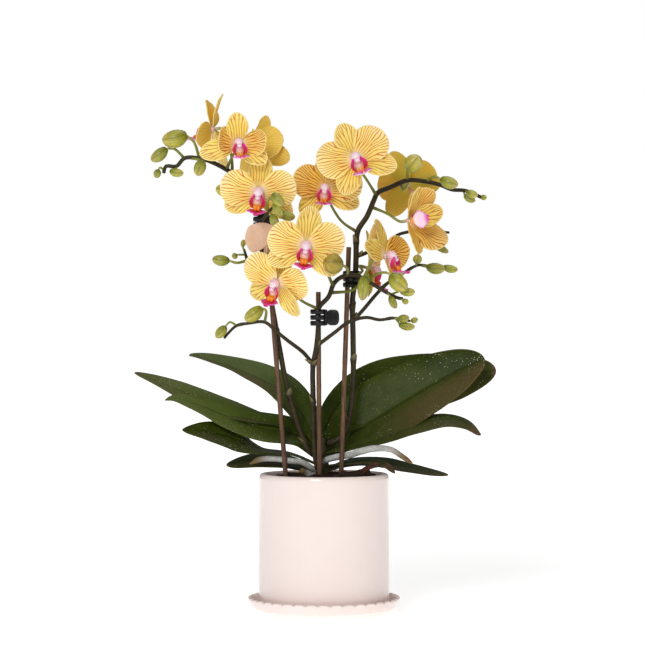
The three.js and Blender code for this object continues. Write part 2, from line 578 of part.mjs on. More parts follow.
// Each spike has a stem, side branches, and buds given as [base, tip, width] with the stalk that carries
// each. Blooms hang on stalks from the places given in `bears`.
const SPIKES = {
  spike_left: {
    stem: [
      [-4, 136, -2], [-12, 138, -9], [-20, 155, -9], [-27, 177, -8], [-33, 200, -8], [-38, 226, -8],
      [-43, 255, -8], [-48.5, 285, -8], [-53.5, 312, -8], [-55.5, 332, -12], [-56, 346, -12], [-62, 361, -11],
      [-75, 375, -10], [-95, 387, -8], [-108, 391, -6], [-120, 391, -6], [-127, 384, -6], [-136, 384, -6],
      [-138, 378, -6],
    ],
    radii: [2.5, 2.4, 2.3, 2.2, 2.2, 2.1, 1.9, 1.6],
    branches: [
      [[-54, 317, -9], [-57, 324, -17], [-56, 331, -24.5], [-53, 338, -31], [-48, 344, -39], [-44, 349, -45]],
      [[-47, 277, -8], [-57, 288, -6], [-65, 301, -5], [-68, 310, -5], [-69, 313, -5]],
    ],
    buds: [
      { stalk: [[-107, 390, -6], [-112, 405, -8], [-119, 411, -9]], tip: [-139, 406, -11], width: 15.5 },
      { stalk: [[-120, 391, -6], [-129, 399, -7], [-136, 399, -8]], tip: [-148.5, 389, -9], width: 10.5 },
      { stalk: [[-137, 380, -6], [-141, 383, -7], [-142.5, 381, -7]], tip: [-144.5, 374, -7], width: 6.5 },
      { stalk: [[-127, 383, -6], [-128, 381, -11], [-132, 380, -13]], tip: [-121, 378, -15], width: 7.5 },
      { stalk: [[-114, 391, -6], [-109, 390, -11], [-105, 389, -13]], tip: [-109, 376, -15], width: 10.5 },
      { stalk: [[-48, 344, -39], [-48.5, 354, -44], [-43.5, 360, -47]], tip: [-35, 350, -51], width: 9.5 },
      { stalk: [[-46, 346.5, -42], [-42.5, 352, -48]], tip: [-36, 340.5, -52], width: 7.5 },
      { stalk: [[-47, 345, -40.5], [-44.5, 342, -48]], tip: [-40.5, 331.5, -52], width: 7.5 },
      { stalk: [[-44.5, 348.5, -44.5], [-38, 344, -46]], tip: [-25, 340, -44.5], width: 8.5 },
      { stalk: [[-68.5, 311, -5], [-70, 315, -6]], tip: [-69, 321, -7], width: 4.5 },
      { stalk: [[-68, 308, -5], [-75, 308, -6]], tip: [-79, 306, -7], width: 5.5 },
      { stalk: [[-66, 303, -5], [-75, 301, -7], [-82, 303, -8]], tip: [-96, 304.5, -9], width: 9.5 },
      { stalk: [[-58, 353, -12], [-68, 361, -8], [-79, 363, -8]], tip: [-93, 365, -9], width: 11 },
    ],
    bears: {
      side: [[-79, 377.5, -9.6], [-79.5, 392, -1]],
      upper_left: [[-84, 381, -9], [-80, 390, -14]],
      back_left: [[-67, 367, -11], [-58, 385, -6]],
      left: [[-57, 349, -12], [-59, 354, -20]],
    },
  },
  spike_centre: {
    stem: [
      [-3, 122, -3], [-6, 126, -13], [-8, 140, -15], [-9, 165, -15], [-9.5, 190, -15.5], [-9.5, 212, -18.5],
      [-6.5, 229, -23.2], [-5, 246, -23.2], [-4.5, 262, -23.2], [4, 272, -24], [9, 284, -25], [18, 290, -25],
      [28, 290, -24], [38, 285, -24], [52, 276.5, -25], [63, 271, -26], [68, 270, -26],
    ],
    radii: [2.4, 2.3, 2.3, 2.2, 2.1, 2, 1.8, 1.4],
    branches: [
      [[-7, 229, -22], [9, 241, -26], [21, 250, -27], [36, 254, -27], [48, 252, -27], [60, 253.5, -27],
        [74, 251, -27]],
      [[-9.5, 214, -18.5], [-18, 224, -21], [-31, 234, -24], [-41, 242, -24], [-51, 250, -23],
        [-65, 249, -22], [-75, 247, -21], [-81, 242, -20], [-86, 236, -20]],
    ],
    buds: [
      { stalk: [[20, 290.5, -25], [20, 296, -46], [13, 301, -60]], tip: [2, 301, -72], width: 17 },
      { stalk: [[40, 284, -24], [37, 290, -28], [34.5, 289, -31]], tip: [33, 269, -35], width: 10.5 },
      {
        stalk: [[38, 285, -24], [46, 291.5, -28], [54, 292.5, -34], [58, 290, -35.5]],
        tip: [71, 278, -40], width: 14,
      },
      { stalk: [[58, 274, -25.5], [66, 277, -29]], tip: [78, 276, -34], width: 7.5 },
      { stalk: [[54, 276, -25], [57, 272, -29]], tip: [62, 262, -31], width: 6.5 },
      { stalk: [[65, 270.5, -26], [68, 269, -28]], tip: [72.5, 267, -30], width: 5 },
      { stalk: [[60, 253.5, -27], [64, 253, -30]], tip: [73, 254, -33], width: 7 },
      { stalk: [[62, 253, -27], [65, 248, -28]], tip: [78, 246, -29], width: 7 },
      { stalk: [[72, 251, -27], [75, 251, -27]], tip: [80.5, 253, -27], width: 5 },
      { stalk: [[-51, 250, -23], [-50, 260, -24], [-54, 262, -25]], tip: [-68, 252, -26], width: 11.5 },
      { stalk: [[-75, 247, -21], [-81, 250, -22], [-85, 246, -22]], tip: [-93, 237, -23], width: 8.5 },
    ],
    bears: {
      centre: [[8, 281, -25], [0, 297, -34]],
      lower_left: [[-4.5, 261, -23], [-20, 269, -30]],
      lower_right: [[5, 275, -24], [27, 279, -18.5]],
      behind_right: [[28, 290, -24], [33, 294, -10]],
    },
  },
  spike_right: {
    stem: [
      [2, 145, 0], [10, 148, 1], [17, 153, 1], [22, 170, 1], [25, 200, 1], [25, 235, -1], [24.5, 269, -4],
      [26.8, 287, -5], [27.5, 304, -5], [29, 328, -4], [37, 341, -3], [43, 355, -2], [46, 361, -1],
      [57, 366, 2], [72, 372, 4], [87, 371, 4], [100, 368, 3], [110, 364, 2], [122, 363, 2], [136, 357, 2],
    ],
    radii: [2.5, 2.4, 2.4, 2.4, 2.4, 2.2, 1.9, 1.5],
    branches: [
      [[27.3, 306, -5], [36, 309.5, -1], [48, 315, 1], [57, 320, 12], [66, 326, 26], [87, 329, 36],
        [108, 327, 36]],
      [[25, 251, -2.5], [34, 261, 1], [45, 274, 1], [54, 283, 6], [68, 292, 17], [81, 299, 19],
        [92, 298, 18]],
    ],
    buds: [
      { stalk: [[72, 372, 4], [71.5, 380, -1], [73, 383, -4]], tip: [81, 392, -15], width: 15.5 },
      { stalk: [[88, 371, 4], [95, 375, -1], [101, 373, -4]], tip: [115, 368, -8], width: 10.5 },
      { stalk: [[122, 363, 2], [123, 362, -2]], tip: [132, 359, -6], width: 7 },
      { stalk: [[120, 363, 2], [121, 359, 4]], tip: [130, 354, 5], width: 6.5 },
      { stalk: [[132, 358.5, 2], [135, 358, 2]], tip: [140, 357, 2], width: 5 },
      { stalk: [[79, 298, 19.5], [79.5, 301, 16]], tip: [81, 308, 13], width: 8 },
      { stalk: [[84, 298.8, 18.6], [89, 297.5, 16]], tip: [104, 296, 14], width: 10 },
      { stalk: [[91, 298, 18], [103, 297.5, 19]], tip: [115, 295, 19], width: 7 },
      { stalk: [[92, 329, 36], [95, 318, 34]], tip: [107, 310, 33], width: 6.5 },
    ],
    bears: {
      upper: [[45, 359, -1.5], [37, 372, -14]],
      upper_middle: [[29, 327, -4], [14, 338, 4]],
      back_right: [[66, 369.5, 3], [68, 364, 10]],
      right: [[41, 349, -2.5], [55, 343, -2]],
    },
  },
};

// A bud swells from its stalk, is fullest before the middle and ends in a blunt point.
function bud(base, tip, width) {
  const half = width / 2;
  if (width < SMALL_BUD) return stalk([base, tip], [0.5 * half, 1.05 * half, 0.25 * half], 4, 2);
  return stalk([base, tip], [0.45 * half, half, 0.92 * half, 0.25 * half], 5, 3);
}

function spike({ stem, radii, branches, buds, bears }) {
  const places = (list) => list.map((place) => seen(...place));
  const pieces = [stalk(places(stem), radii, STEM_SIDES, STEM_STEPS)];
  for (const branch of branches) pieces.push(stalk(places(branch), BRANCH_RADII, STALK_SIDES, branch.length));
  for (const { stalk: route, tip, width } of buds) {
    const thick = width > THICK_BUD ? 1.05 : 0.8;
    pieces.push(stalk(places(route), [thick * 1.2, thick, thick], 3, Math.max(route.length - 1, 2)));
    const base = seen(...route.at(-1));
    const point = seen(...tip);
    pieces.push(bud(base.clone().lerp(point, -0.04), point, width));
  }
  for (const [name, route] of Object.entries(bears)) {
    const { size } = BLOOMS[name];
    const frame = bloomFrame(BLOOMS[name]);
    const behind = (distance) => new THREE.Vector3(0, 0, -distance).applyMatrix4(frame);
    const end = -HUB.back * size + GAP;
    const points = [...places(route), behind(end + 7), behind(end)];
    pieces.push(stalk(points, FLOWER_STALK_RADII, STALK_SIDES, 3));
  }
  return joined(pieces);
}

// ---------------------------------------------------------------- stakes, clips and tag

const STAKES = {
  stake_left: [[-28.3, 60, -13], [-51, 341, -13.5]],
  stake_centre: [[-3.6, 60, -20.5], [-4.9, 276, -18]],
  stake_right: [[12.8, 60, -20.5], [21.3, 314.5, -4]],
};

// The stake runs straight through its two places; its foot is deep in the bark.
function stake([low, high], grow = 0) {
  const ends = [seen(...low), seen(...high)];
  return stalk(ends, [STAKE_RADIUS + grow, STAKE_RADIUS + grow], STAKE_SIDES, 1);
}

// A spring clip: three fingers round the stem and the stake, and two round thumb plates with a barrel
// between them.
const CLIP = {
  finger: 2.3, pitch: 5.2, band: 1.4, sides: 7,
  plate: [11, 1.8, 13.5], plateSides: 8, plateOut: 3, spread: 0.2,
  bridge: [1.8, 6], barrel: [3.4, 6.4, 10.8], barrelOut: 3.4,
};
const CLIPS = {
  clip_left: { at: [-53.4, 338.5, -12.6], inner: 6.3, turn: 75 },
  clip_centre: { at: [-5, 254, -20.8], inner: 5.5, turn: 0 },
  clip_right: { at: [23.7, 287, -5.4], inner: 6.2, turn: 85 },
};

function clip({ at, inner, turn }) {
  const { finger, pitch, band, sides, plate, plateSides, plateOut, spread, bridge, barrel, barrelOut } = CLIP;
  const outer = inner + band;
  const ring = [[inner, 0], [outer, 0], [outer, finger], [inner, finger], [inner, 0]];
  const fingerAt = (step) => turned(ring, sides).translate(0, 0, step * pitch - finger / 2);
  const pieces = [-1, 0, 1].map((step) => solidOf(fingerAt(step)));
  const [long, , tall] = plate;
  pieces.push(block([...bridge, tall], new THREE.Vector3(outer + 0.4, 0, 0)));
  for (const side of [1, -1]) {
    const disc = new THREE.CylinderGeometry(0.5, 0.5, 1, plateSides).scale(...plate).rotateZ(side * spread);
    pieces.push(solidOf(disc.translate(outer + long / 2, side * plateOut, 0)));
  }
  pieces.push(block(barrel, new THREE.Vector3(outer + barrelOut, 0, 0)));
  const placed = new THREE.Matrix4().makeRotationZ(THREE.MathUtils.degToRad(turn)).setPosition(seen(...at));
  return solidOf(geometryOf(joined(pieces)).applyMatrix4(placed));
}

// A card tag, wide at its top and pointed to the lower left, with a card sleeve that slips over the stake.
const TAG = { at: [-55, 323, -31.5], thickness: 1, sleeve: { inner: 2.4, outer: 3.2, low: 309, high: 316 } };
const TAG_OUTLINE = [
  [-12.8, -1], [-9.5, 9], [3, 12.4], [12.6, 7.5], [6.8, -5.8], [-6.3, -12.8], [-11.6, -6.5],
];

function tag() {
  const outline = new THREE.Shape();
  const ring = TAG_OUTLINE.map(([x, z]) => new THREE.Vector3(x, z, 0));
  const round = new THREE.CatmullRomCurve3(ring, true, "centripetal").getPoints(16);
  outline.setFromPoints(round.slice(0, -1).map(({ x, y }) => new THREE.Vector2(x, y)));
  const card = new THREE.ExtrudeGeometry(outline, { depth: TAG.thickness, bevelEnabled: false });
  const at = seen(...TAG.at);
  card.rotateX(Math.PI / 2).translate(at.x, at.y + TAG.thickness / 2, at.z);
  const { inner, outer, low, high } = TAG.sleeve;
  const [foot, head] = STAKES.stake_left;
  const along = (z) => {
    const share = (z - foot[1]) / (head[1] - foot[1]);
    return foot.map((value, i) => THREE.MathUtils.lerp(value, head[i], share));
  };
  const ends = [seen(...along(low)), seen(...along(high))];
  const sleeve = stalk(ends, [outer, outer], 8, 1);
  const span = ends[0].y - at.y - (inner + outer) / 2;
  const middle = new THREE.Vector3(ends[0].x - 0.4, at.y + span / 2, (ends[0].z + ends[1].z) / 2);
  const web = block([1.2, span, 5.5], middle);
  const bore = stalk([seen(...along(low - 2)), seen(...along(high + 2))], [inner, inner], 8, 1);
  return joined([solidOf(card), sleeve, web]).subtract(bore);
}

// ---------------------------------------------------------------- the whole plant

const orchid = new THREE.Group();

function add(name, geometry, colour, matrix) {
  const [color, roughness] = COLOURS[colour];
  const mesh = new THREE.Mesh(geometry, new THREE.MeshStandardMaterial({ color, roughness, metalness: 0 }));
  mesh.name = name;
  if (matrix) mesh.applyMatrix4(matrix);
  orchid.add(mesh);
}

add("saucer", saucer(), "glaze");
add("pot", pot(), "glaze");
add("nursery_pot", liner(), "liner");

const rooted = crown(GAP);
for (const [name, ends] of Object.entries(STAKES)) add(name, geometryOf(stake(ends)), "bamboo");
const holes = Object.values(STAKES).map((ends) => stake(ends, GAP));
holes.push(root(ROOTS.root_stub, GAP), barkFlake(GAP));
add("bark_bed", geometryOf(barkBed([rooted, ...holes])), "bark");
add("bark_flake", geometryOf(barkFlake()), "barkFlake");
add("crown", geometryOf(crown()), "crown");

const clearOf = [];
for (const [name, shape] of Object.entries(LEAVES)) {
  add(name, geometryOf(cutBack(leaf(shape), [rooted, ...clearOf])), "leaf");
  clearOf.push(leaf(shape, GAP));
}
for (const [name, shape] of Object.entries(ROOTS)) {
  add(name, geometryOf(cutBack(root(shape), [rooted])), "root");
}
for (const [name, shape] of Object.entries(SPIKES)) {
  add(name, geometryOf(cutBack(spike(shape), [rooted])), "stem");
}
for (const [name, shape] of Object.entries(BLOOMS)) {
  const place = new THREE.Matrix4().setPosition(seen(...shape.at));
  add(`bloom_${name}`, geometryOf(bloom(shape)), "petal", place);
  const lipFrame = bloomFrame({ ...shape, face: shape.lipFace ?? shape.face });
  add(`lip_${name}`, geometryOf(lip(shape.size)), "lip", lipFrame);
}
for (const [name, shape] of Object.entries(CLIPS)) add(name, geometryOf(clip(shape)), "clip");
add("tag", geometryOf(tag()), "card");

export default orchid;
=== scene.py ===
"""The looks of a potted moth orchid: glazed pot and saucer, bark, leaves, air roots, three flower spikes.

Places and sizes are in millimetres, as they are in the part's own source, and become metres on the mesh.
"""

import math
import random

import bpy
from mathutils import Euler, Matrix, Vector
from mathutils import noise as field


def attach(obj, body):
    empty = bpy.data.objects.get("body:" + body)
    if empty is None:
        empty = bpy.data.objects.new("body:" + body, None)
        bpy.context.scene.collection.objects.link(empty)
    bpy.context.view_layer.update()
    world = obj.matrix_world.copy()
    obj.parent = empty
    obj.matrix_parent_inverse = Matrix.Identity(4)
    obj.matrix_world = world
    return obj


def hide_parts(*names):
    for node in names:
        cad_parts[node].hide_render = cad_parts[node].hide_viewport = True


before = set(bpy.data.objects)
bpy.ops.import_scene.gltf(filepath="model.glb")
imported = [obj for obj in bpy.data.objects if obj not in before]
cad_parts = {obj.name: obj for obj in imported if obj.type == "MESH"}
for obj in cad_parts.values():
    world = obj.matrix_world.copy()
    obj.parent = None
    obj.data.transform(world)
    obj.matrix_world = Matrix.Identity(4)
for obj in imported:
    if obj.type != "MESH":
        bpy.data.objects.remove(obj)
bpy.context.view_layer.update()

MM = 0.001
BODY = "root"
SHARP = math.radians(50)

# ---------------------------------------------------------------- camera

EYE_DISTANCE = 2000
EYE_HEIGHT = 250
CAMERA = {"x": -1.3, "below_eye": 0.3, "lens": 129.8, "sensor": 36.0, "near": 0.05, "far": 20}


def set_camera():
    bpy.ops.object.camera_add(
        location=(CAMERA["x"] * MM, -EYE_DISTANCE * MM, (EYE_HEIGHT - CAMERA["below_eye"]) * MM),
        rotation=(math.pi / 2, 0, 0),
    )
    camera = bpy.context.object
    camera.data.lens = CAMERA["lens"]
    camera.data.sensor_width = CAMERA["sensor"]
    camera.data.clip_start = CAMERA["near"]
    camera.data.clip_end = CAMERA["far"]
    bpy.context.scene.camera = camera


set_camera()


# The plant's places are given as they look from the front: across and up in the plane of the pot's axis,
# then how far behind (+) or in front (-) of that plane they are.
def seen(x, z, y):
    spread = 1 + y / EYE_DISTANCE
    return Vector((x * spread, y, EYE_HEIGHT + (z - EYE_HEIGHT) * spread))


def seen_all(places):
    return [seen(*place) for place in places]


def lerp(a, b, t):
    return a + (b - a) * t


def smooth(low, high, value):
    t = min(max((value - low) / (high - low), 0.0), 1.0)
    return t * t * (3 - 2 * t)


def spread_evenly(values, share):
    """The value at a share of the way along a list of evenly spread values."""
    at = min(max(share, 0.0), 1.0) * (len(values) - 1)
    low = min(int(at), len(values) - 2)
    return lerp(values[low], values[low + 1], at - low)


def eased(values, share):
    """As spread_evenly, but rounded off at each value."""
    at = min(max(share, 0.0), 1.0) * (len(values) - 1)
    low = min(int(at), len(values) - 2)
    return lerp(values[low], values[low + 1], smooth(0, 1, at - low))


def wobble(place, scale, seed):
    """A smooth random number from about -1 to 1 at a place in millimetres."""
    return field.noise(place / scale + Vector((seed * 7.3, seed * 3.1, seed * 5.7)))


# ---------------------------------------------------------------- lines through space


class Route:
    """A smooth line through points, read by the share of its length."""

    SPAN_SAMPLES = 20

    def __init__(self, points, closed=False):
        points = [Vector(p) for p in points]
        if closed:
            ring = [points[-1], *points, points[0], points[1]]
        else:
            ring = [2 * points[0] - points[1], *points, 2 * points[-1] - points[-2]]
        self.line = [ring[1].copy()]
        for i in range(len(ring) - 3):
            for step in range(1, self.SPAN_SAMPLES + 1):
                self.line.append(self.between(ring[i : i + 4], step / self.SPAN_SAMPLES))
        self.travel = [0.0]
        for a, b in zip(self.line, self.line[1:]):
            self.travel.append(self.travel[-1] + (b - a).length)
        self.length = self.travel[-1]
        self.carry_frame()

    @staticmethod
    def between(four, t):
        p0, p1, p2, p3 = four
        d0, d1, d2 = (max((b - a).length ** 0.5, 1e-4) for a, b in zip(four, four[1:]))
        t1 = ((p1 - p0) / d0 - (p2 - p0) / (d0 + d1) + (p2 - p1) / d1) * d1
        t2 = ((p2 - p1) / d1 - (p3 - p1) / (d1 + d2) + (p3 - p2) / d2) * d1
        square = -3 * p1 + 3 * p2 - 2 * t1 - t2
        cube = 2 * p1 - 2 * p2 + t1 + t2
        return p1 + t1 * t + square * t * t + cube * t**3

    def carry_frame(self):
        steps = [(b - a).normalized() for a, b in zip(self.line, self.line[1:])]
        self.ways = [steps[0]]
        self.ways += [(a + b).normalized() for a, b in zip(steps, steps[1:])]
        self.ways.append(steps[-1])
        first = self.ways[0]
        aside = Vector((0, 1, 0)) if abs(first.y) < 0.8 else Vector((1, 0, 0))
        self.sides = [(aside - first * aside.dot(first)).normalized()]
        for before, way in zip(self.ways, self.ways[1:]):
            turned = before.rotation_difference(way) @ self.sides[-1]
            self.sides.append((turned - way * turned.dot(way)).normalized())

    def find(self, share):
        target = min(max(share, 0.0), 1.0) * self.length
        low, high = 0, len(self.travel) - 1
        while high - low > 1:
            middle = (low + high) // 2
            if self.travel[middle] <= target:
                low = middle
            else:
                high = middle
        step = self.travel[high] - self.travel[low]
        return low, (target - self.travel[low]) / step if step > 0 else 0.0

    def at(self, share):
        low, t = self.find(share)
        return self.line[low].lerp(self.line[low + 1], t)

    def way(self, share):
        low, t = self.find(share)
        return self.ways[low].lerp(self.ways[low + 1], t).normalized()

    def side(self, share):
        low, t = self.find(share)
        return self.sides[low].lerp(self.sides[low + 1], t).normalized()

    def round(self, share, radius, turn):
        """A point on a ring about the line; turn runs from 0 to 1."""
        way, side = self.way(share), self.side(share)
        other = way.cross(side)
        angle = 2 * math.pi * turn
        return self.at(share) + (side * math.cos(angle) + other * math.sin(angle)) * radius

    def share_at_height(self, height):
        for i, place in enumerate(self.line):
            if place.z >= height:
                return self.travel[i] / self.length
        return 1.0


# ---------------------------------------------------------------- making and finishing meshes


def in_edit_mode(piece, *steps):
    bpy.context.view_layer.objects.active = piece
    bpy.ops.object.mode_set(mode="EDIT")
    bpy.ops.mesh.select_all(action="SELECT")
    for step in steps:
        step()
    bpy.ops.object.mode_set(mode="OBJECT")


def only(piece):
    bpy.ops.object.select_all(action="DESELECT")
    piece.select_set(True)
    bpy.context.view_layer.objects.active = piece


def primitive(kind, **settings):
    """One of Blender's own meshes, such as a cube or a torus, selected alone."""
    bpy.ops.object.select_all(action="DESELECT")
    getattr(bpy.ops.mesh, f"primitive_{kind}_add")(**settings)
    return bpy.context.object


def weld(piece, distance=0.01):
    only(piece)
    in_edit_mode(piece, lambda: bpy.ops.mesh.remove_doubles(threshold=distance * MM))


def face_outwards(piece):
    only(piece)
    in_edit_mode(piece, lambda: bpy.ops.mesh.normals_make_consistent(inside=False))


def shaped(name, columns, rows, place, flat=None, marks=None):
    """A grid whose points stand where place(u, v) says, in millimetres; u runs across and v along, 0 to 1.

    flat(u, v) gives the piece's UV map, and marks gives its named values between 0 and 1."""
    piece = primitive("grid", x_subdivisions=columns, y_subdivisions=rows, size=1)
    piece.name = name
    mesh = piece.data
    shares = []
    for vertex in mesh.vertices:
        u = round((vertex.co.x + 0.5) * columns) / columns
        v = round((vertex.co.y + 0.5) * rows) / rows
        shares.append((u, v))
    for label, value in (marks or {}).items():
        attribute = mesh.attributes.new(label, "FLOAT", "POINT")
        for i, (u, v) in enumerate(shares):
            attribute.data[i].value = value(u, v)
    if flat:
        layer = mesh.uv_layers.active
        for loop in mesh.loops:
            layer.data[loop.index].uv = flat(*shares[loop.vertex_index])
    for vertex, (u, v) in zip(mesh.vertices, shares):
        vertex.co = place(u, v) * MM
    bpy.ops.object.shade_smooth()
    return piece


def tube(name, route, radius, sides, steps, flat_end=0.75):
    """A closed round stalk on a route. radius(v, turn) gives its radius; its ends are a little chamfered."""
    ring = radius(0.0, 0.0)
    nip = min(0.35 * ring / route.length, 0.4 / steps)
    shares = [0.0, 0.0, nip, *[i / steps for i in range(1, steps)], 1 - nip, 1.0, 1.0]
    fill = [0.0, flat_end, *[1.0] * (steps + 1), flat_end, 0.0]
    rows = len(shares) - 1

    def place(u, v):
        i = round(v * rows)
        return route.round(shares[i], fill[i] * radius(shares[i], u), u)

    def flat(u, v):
        return u, shares[round(v * rows)]

    piece = shaped(name, sides, rows, place, flat)
    weld(piece)
    return piece


def eased_radii(radii, scale=1.0):
    return lambda v, turn: eased(radii, v) * scale


def turned_profile(name, profile, steps):
    """A profile of (radius, height, rounding) turned about the upright axis."""
    points = []
    for i, (r, z, rounding) in enumerate(profile):
        here = Vector((r, z))
        if rounding == 0 or i in (0, len(profile) - 1):
            points.append(here)
            continue
        before = Vector(profile[i - 1][:2]) - here
        after = Vector(profile[i + 1][:2]) - here
        start = here + before.normalized() * min(rounding, before.length * 0.49)
        stop = here + after.normalized() * min(rounding, after.length * 0.49)
        for t in (0, 0.25, 0.5, 0.75, 1):
            points.append(start.lerp(here, t).lerp(here.lerp(stop, t), t))
    rows = len(points) - 1

    def place(u, v):
        r, z = points[round(v * rows)]
        angle = 2 * math.pi * u
        return Vector((r * math.cos(angle), r * math.sin(angle), z))

    piece = shaped(name, steps, rows, place)
    weld(piece)
    face_outwards(piece)
    return piece


def modified(piece, kind, **settings):
    """Adds a modifier and applies it."""
    only(piece)
    modifier = piece.modifiers.new(kind.title(), kind)
    for key, value in settings.items():
        setattr(modifier, key, value)
    bpy.ops.object.modifier_apply(modifier=modifier.name)
    return piece


def thickened(piece, thickness, **settings):
    return modified(piece, "SOLIDIFY", thickness=thickness * MM, offset=0, **settings)


def softened(piece, width, segments=2):
    """Rounds a piece's sharp edges."""
    limits = {"limit_method": "ANGLE", "angle_limit": SHARP}
    return modified(piece, "BEVEL", width=width * MM, segments=segments, **limits)


def paint(piece, *materials):
    piece.data.materials.clear()
    for material in materials:
        piece.data.materials.append(material)
    return piece


def joined(name, pieces):
    bpy.ops.object.select_all(action="DESELECT")
    for piece in pieces:
        piece.select_set(True)
    bpy.context.view_layer.objects.active = pieces[0]
    if len(pieces) > 1:
        bpy.ops.object.join()
    pieces[0].name = name
    pieces[0].data.name = name
    return pieces[0]


def moved(piece, matrix):
    """Turns and places a piece's mesh; matrix is in millimetres."""
    placed = matrix.copy()
    placed.translation = placed.translation * MM
    piece.data.transform(placed)
    piece.data.update()
    return piece


def stands_for(piece, slot, *nodes):
    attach(piece, BODY)
    if nodes:
        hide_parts(*nodes)
    return piece


# ---------------------------------------------------------------- shader nodes in short


def srgb(red, green, blue):
    """A colour as it is seen on a screen, 0 to 255, for a shader."""
    linear = [((c / 255 + 0.055) / 1.055) ** 2.4 if c > 10 else c / 255 / 12.92 for c in (red, green, blue)]
    return (*linear, 1.0)


class Wires:
    """Short ways to lay shader nodes in one tree."""

    def __init__(self, tree):
        self.tree = tree

    def node(self, kind, inputs=None, **settings):
        made = self.tree.nodes.new(kind)
        for key, value in settings.items():
            setattr(made, key, value)
        for key, value in (inputs or {}).items():
            self.feed(made.inputs[key], value)
        return made

    def feed(self, socket, value):
        if isinstance(value, bpy.types.NodeSocket):
            self.tree.links.new(value, socket)
        else:
            socket.default_value = value

    def math(self, operation, *values):
        made = self.node("ShaderNodeMath", operation=operation)
        for socket, value in zip(made.inputs, values):
            self.feed(socket, value)
        return made.outputs[0]

    def times(self, a, b):
        return self.math("MULTIPLY", a, b)

    def minus(self, a, b):
        return self.math("SUBTRACT", a, b)

    def line(self, value, slope, start):
        """A value times a slope, plus a start."""
        return self.math("MULTIPLY_ADD", value, slope, start)

    def length(self, x, y):
        return self.math("SQRT", self.line(x, x, self.times(y, y)))

    def from_middle(self, share):
        """0 where a share is one half, and 1 where it is 0 or 1."""
        return self.math("ABSOLUTE", self.line(share, 2.0, -1.0))

    def step(self, low, high, value):
        """0 below low, 1 above high and smooth between."""
        made = self.node("ShaderNodeMapRange", interpolation_type="SMOOTHSTEP")
        for key, given in {"Value": value, "From Min": low, "From Max": high}.items():
            self.feed(made.inputs[key], given)
        return made.outputs["Result"]

    def mix(self, factor, low, high):
        made = self.node("ShaderNodeMix", data_type="RGBA", clamp_factor=True)
        self.feed(made.inputs["Factor"], factor)
        self.feed(made.inputs[6], low)
        self.feed(made.inputs[7], high)
        return made.outputs[2]

    def ramp(self, factor, stops):
        """A colour that changes smoothly along stops of (place, red, green, blue)."""
        made = self.node("ShaderNodeValToRGB")
        made.color_ramp.interpolation = "EASE"
        elements = made.color_ramp.elements
        while len(elements) < len(stops):
            elements.new(0.5)
        for element, (place, *colour) in zip(elements, stops):
            element.position = place
            element.color = srgb(*colour)
        self.feed(made.inputs["Fac"], factor)
        return made.outputs["Color"]

    def split(self, vector):
        return self.node("ShaderNodeSeparateXYZ", {0: vector}).outputs

    def combine(self, x, y, z=0.0):
        return self.node("ShaderNodeCombineXYZ", {0: x, 1: y, 2: z}).outputs[0]

    def noise(self, vector, scale, detail=2.0, distortion=0.0, roughness=0.5):
        values = {"Vector": vector, "Scale": scale, "Detail": detail, "Distortion": distortion,
                  "Roughness": roughness}
        return self.node("ShaderNodeTexNoise", values).outputs["Fac"]

    def place(self):
        return self.node("ShaderNodeTexCoord").outputs["Object"]

    def uv(self):
        return self.node("ShaderNodeTexCoord").outputs["UV"]

    def mark(self, name):
        return self.node("ShaderNodeAttribute", attribute_name=name).outputs["Fac"]

    def bump(self, height, strength, distance):
        values = {"Height": height, "Strength": strength, "Distance": distance * MM}
        return self.node("ShaderNodeBump", values).outputs["Normal"]

    def group(self, group, **values):
        made = self.node("ShaderNodeGroup", node_tree=group)
        for key, value in values.items():
            self.feed(made.inputs[key.replace("_", " ").capitalize()], value)
        return made.outputs


def effect(name, inputs, outputs, build):
    """A shader node group. inputs and outputs map a socket's name to its kind and, for inputs, its value."""
    group = bpy.data.node_groups.new(name, "ShaderNodeTree")
    for label, (kind, value) in inputs.items():
        socket = group.interface.new_socket(label, in_out="INPUT", socket_type=kind)
        if value is not None:
            socket.default_value = value
    for label, kind in outputs.items():
        group.interface.new_socket(label, in_out="OUTPUT", socket_type=kind)
    wires = Wires(group)
    given = wires.node("NodeGroupInput").outputs
    results = build(wires, given)
    leave = wires.node("NodeGroupOutput")
    for label, result in results.items():
        wires.feed(leave.inputs[label], result)
    return group


# A tepal's UV map: millimetres across it, and the share of it below the tepal's root.
FLAT_SPAN = 40.0
FLAT_FOOT = 0.1

FLOAT, COLOUR, VECTOR = "NodeSocketFloat", "NodeSocketColor", "NodeSocketVector"


def build_mottle(w, given):
    """Broad and fine blotches that darken and lighten a colour."""
    broad = w.noise(given["Vector"], given["Scale"], 3.0, 0.3)
    fine = w.noise(given["Vector"], w.times(given["Scale"], 6.5), 2.0)
    both = w.line(fine, 0.35, w.times(broad, 0.65))
    share = w.times(w.step(0.36, 0.64, both), given["Amount"])
    return {"Colour": w.mix(share, given["Colour"], given["Other"]), "Blotch": both}


MOTTLE = effect(
    "mottle",
    {"Vector": (VECTOR, None), "Colour": (COLOUR, None), "Other": (COLOUR, None), "Scale": (FLOAT, 60.0),
     "Amount": (FLOAT, 1.0)},
    {"Colour": COLOUR, "Blotch": FLOAT},
    build_mottle,
)


def build_flecks(w, given):
    """Small scattered specks of uneven size."""
    cells = w.node(
        "ShaderNodeTexVoronoi",
        {"Vector": given["Vector"], "Scale": given["Scale"], "Randomness": 1.0},
    )
    lot = w.split(cells.outputs["Color"])[0]
    size = w.times(w.step(w.minus(1.0, given["Amount"]), 1.0, lot), given["Size"])
    near = w.minus(size, cells.outputs["Distance"])
    return {"Mask": w.step(0.0, 0.08, near)}


